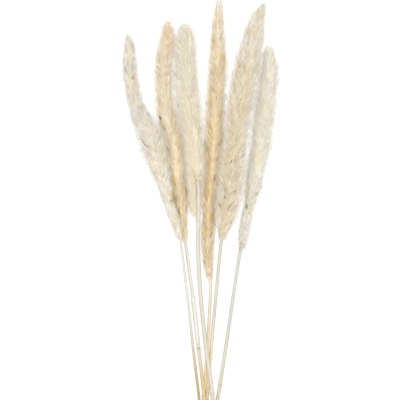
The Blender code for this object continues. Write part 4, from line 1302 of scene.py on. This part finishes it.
# %% The knot
KNOT_ALONG = ((-1.6, -5.9, 9.6), (-1.3, -4.4, 12.0), (0.0, 0.0, 13.0), (1.3, 4.4, 12.0), (1.6, 5.9, 9.6))
KNOT_ACROSS = ((-4.2, 2.6, 11.0), (-2.0, 1.3, 13.2), (0.0, 0.0, 13.9), (2.0, -1.3, 13.2), (4.2, -2.6, 11.0))
KNOT_TONES = (0.7, 0.55)
KNOT_WIDTHS = ((0.0, 0.5, 1.0), (1.9, 1.4, 1.9))


def tie_route(points):
    """A route through points that are counted from the middle of the tie."""
    return Route([(TIE_X + x, TIE_Y + y, z) for x, y, z in points])


def add_flat_strip(heap, route, widths, tone, rng):
    """A strip that lies face up along a route, with half widths at some shares of its length."""
    centres = route.points
    half_widths = np.interp(np.linspace(0, 1, len(centres)), *widths)
    add_ribbon(heap, centres, np.tile(UP, (len(centres), 1)), half_widths, tone, rng)


for knot_points, tone in zip((KNOT_ALONG, KNOT_ACROSS), KNOT_TONES):
    add_flat_strip(tie_heap, tie_route(knot_points), KNOT_WIDTHS, tone, rng)
print("the knot rises to", max(z for x, y, z in KNOT_ACROSS), "mm over the table")

# %% [markdown]
# Two tails come out of the knot, fall over the stems and lie on the table. Each frays at its end into a fan
# of threads, which are slivers like the hairs, but coarser.

# %% The tails
TAIL_RIGHT = ((2.0, 0.8, 12.6), (5.5, 2.4, 14.4), (10.5, 6.0, 10.4), (13.0, 10.5, 3.2), (15.5, 17.0, 0.8),
              (18.5, 27.0, 0.6))
TAIL_LEFT = ((-2.0, -0.8, 12.6), (-5.5, -2.4, 14.4), (-10.5, -6.0, 10.4), (-13.0, -10.5, 3.2),
             (-15.0, -17.0, 0.8), (-16.5, -29.0, 0.6))
TAIL_WIDTHS = ((0.0, 0.3, 0.9, 1.0), (1.0, 1.3, 1.3, 0.8))
TAIL_TONES = (0.3, 0.8)
THREADS = 7
THREAD_ROOT = 1.5
THREAD_AIM = 1.0
THREAD_LENGTH = (5.0, 11.0)
THREAD_WIDTH = (0.25, 0.5)
THREAD_FAN = 0.28
THREAD_FAN_SCATTER = 0.08
THREAD_BEND = 0.6
THREAD_RISE = (0.2, 1.2)
THREAD_FIBRE_MM = 8.0
THREAD_VALUES = {"across_mm": 0.3, "tone": 0.9}


def add_tail(heap, points, rng):
    """A tail of the tie: the strip from the knot to the table, and the threads that it frays into."""
    route = tie_route(points)
    add_flat_strip(heap, route, TAIL_WIDTHS, rng.uniform(*TAIL_TONES), rng)
    along, across = route.frame(np.array([route.length - THREAD_AIM]))[:2]
    spaced = np.linspace(-1.0, 1.0, THREADS)[:, None]
    root = route.at(np.full(THREADS, route.length - THREAD_ROOT)) + across * spaced
    reach = rng.uniform(*THREAD_LENGTH, THREADS)[:, None]
    fan = (np.linspace(-THREAD_FAN, THREAD_FAN, THREADS)[:, None]
           + rng.normal(size=(THREADS, 1)) * THREAD_FAN_SCATTER)
    tip = root + (along + across * fan) * reach
    bend = (rng.normal(size=(THREADS, 1)) * across * THREAD_BEND
            + UP * rng.uniform(*THREAD_RISE, (THREADS, 1)))
    threads, corners = slivers(root, (root + tip) / 2 + bend, tip, rng.uniform(*THREAD_WIDTH, THREADS), rng)
    heap.add(threads, corners, along_mm=np.tile(SLIVER_PLACES * THREAD_FIBRE_MM, THREADS), **THREAD_VALUES)


for tail_points in (TAIL_RIGHT, TAIL_LEFT):
    add_tail(tie_heap, tail_points, rng)
make_piece(tie_heap, "raffia_tie", "tie", raffia)
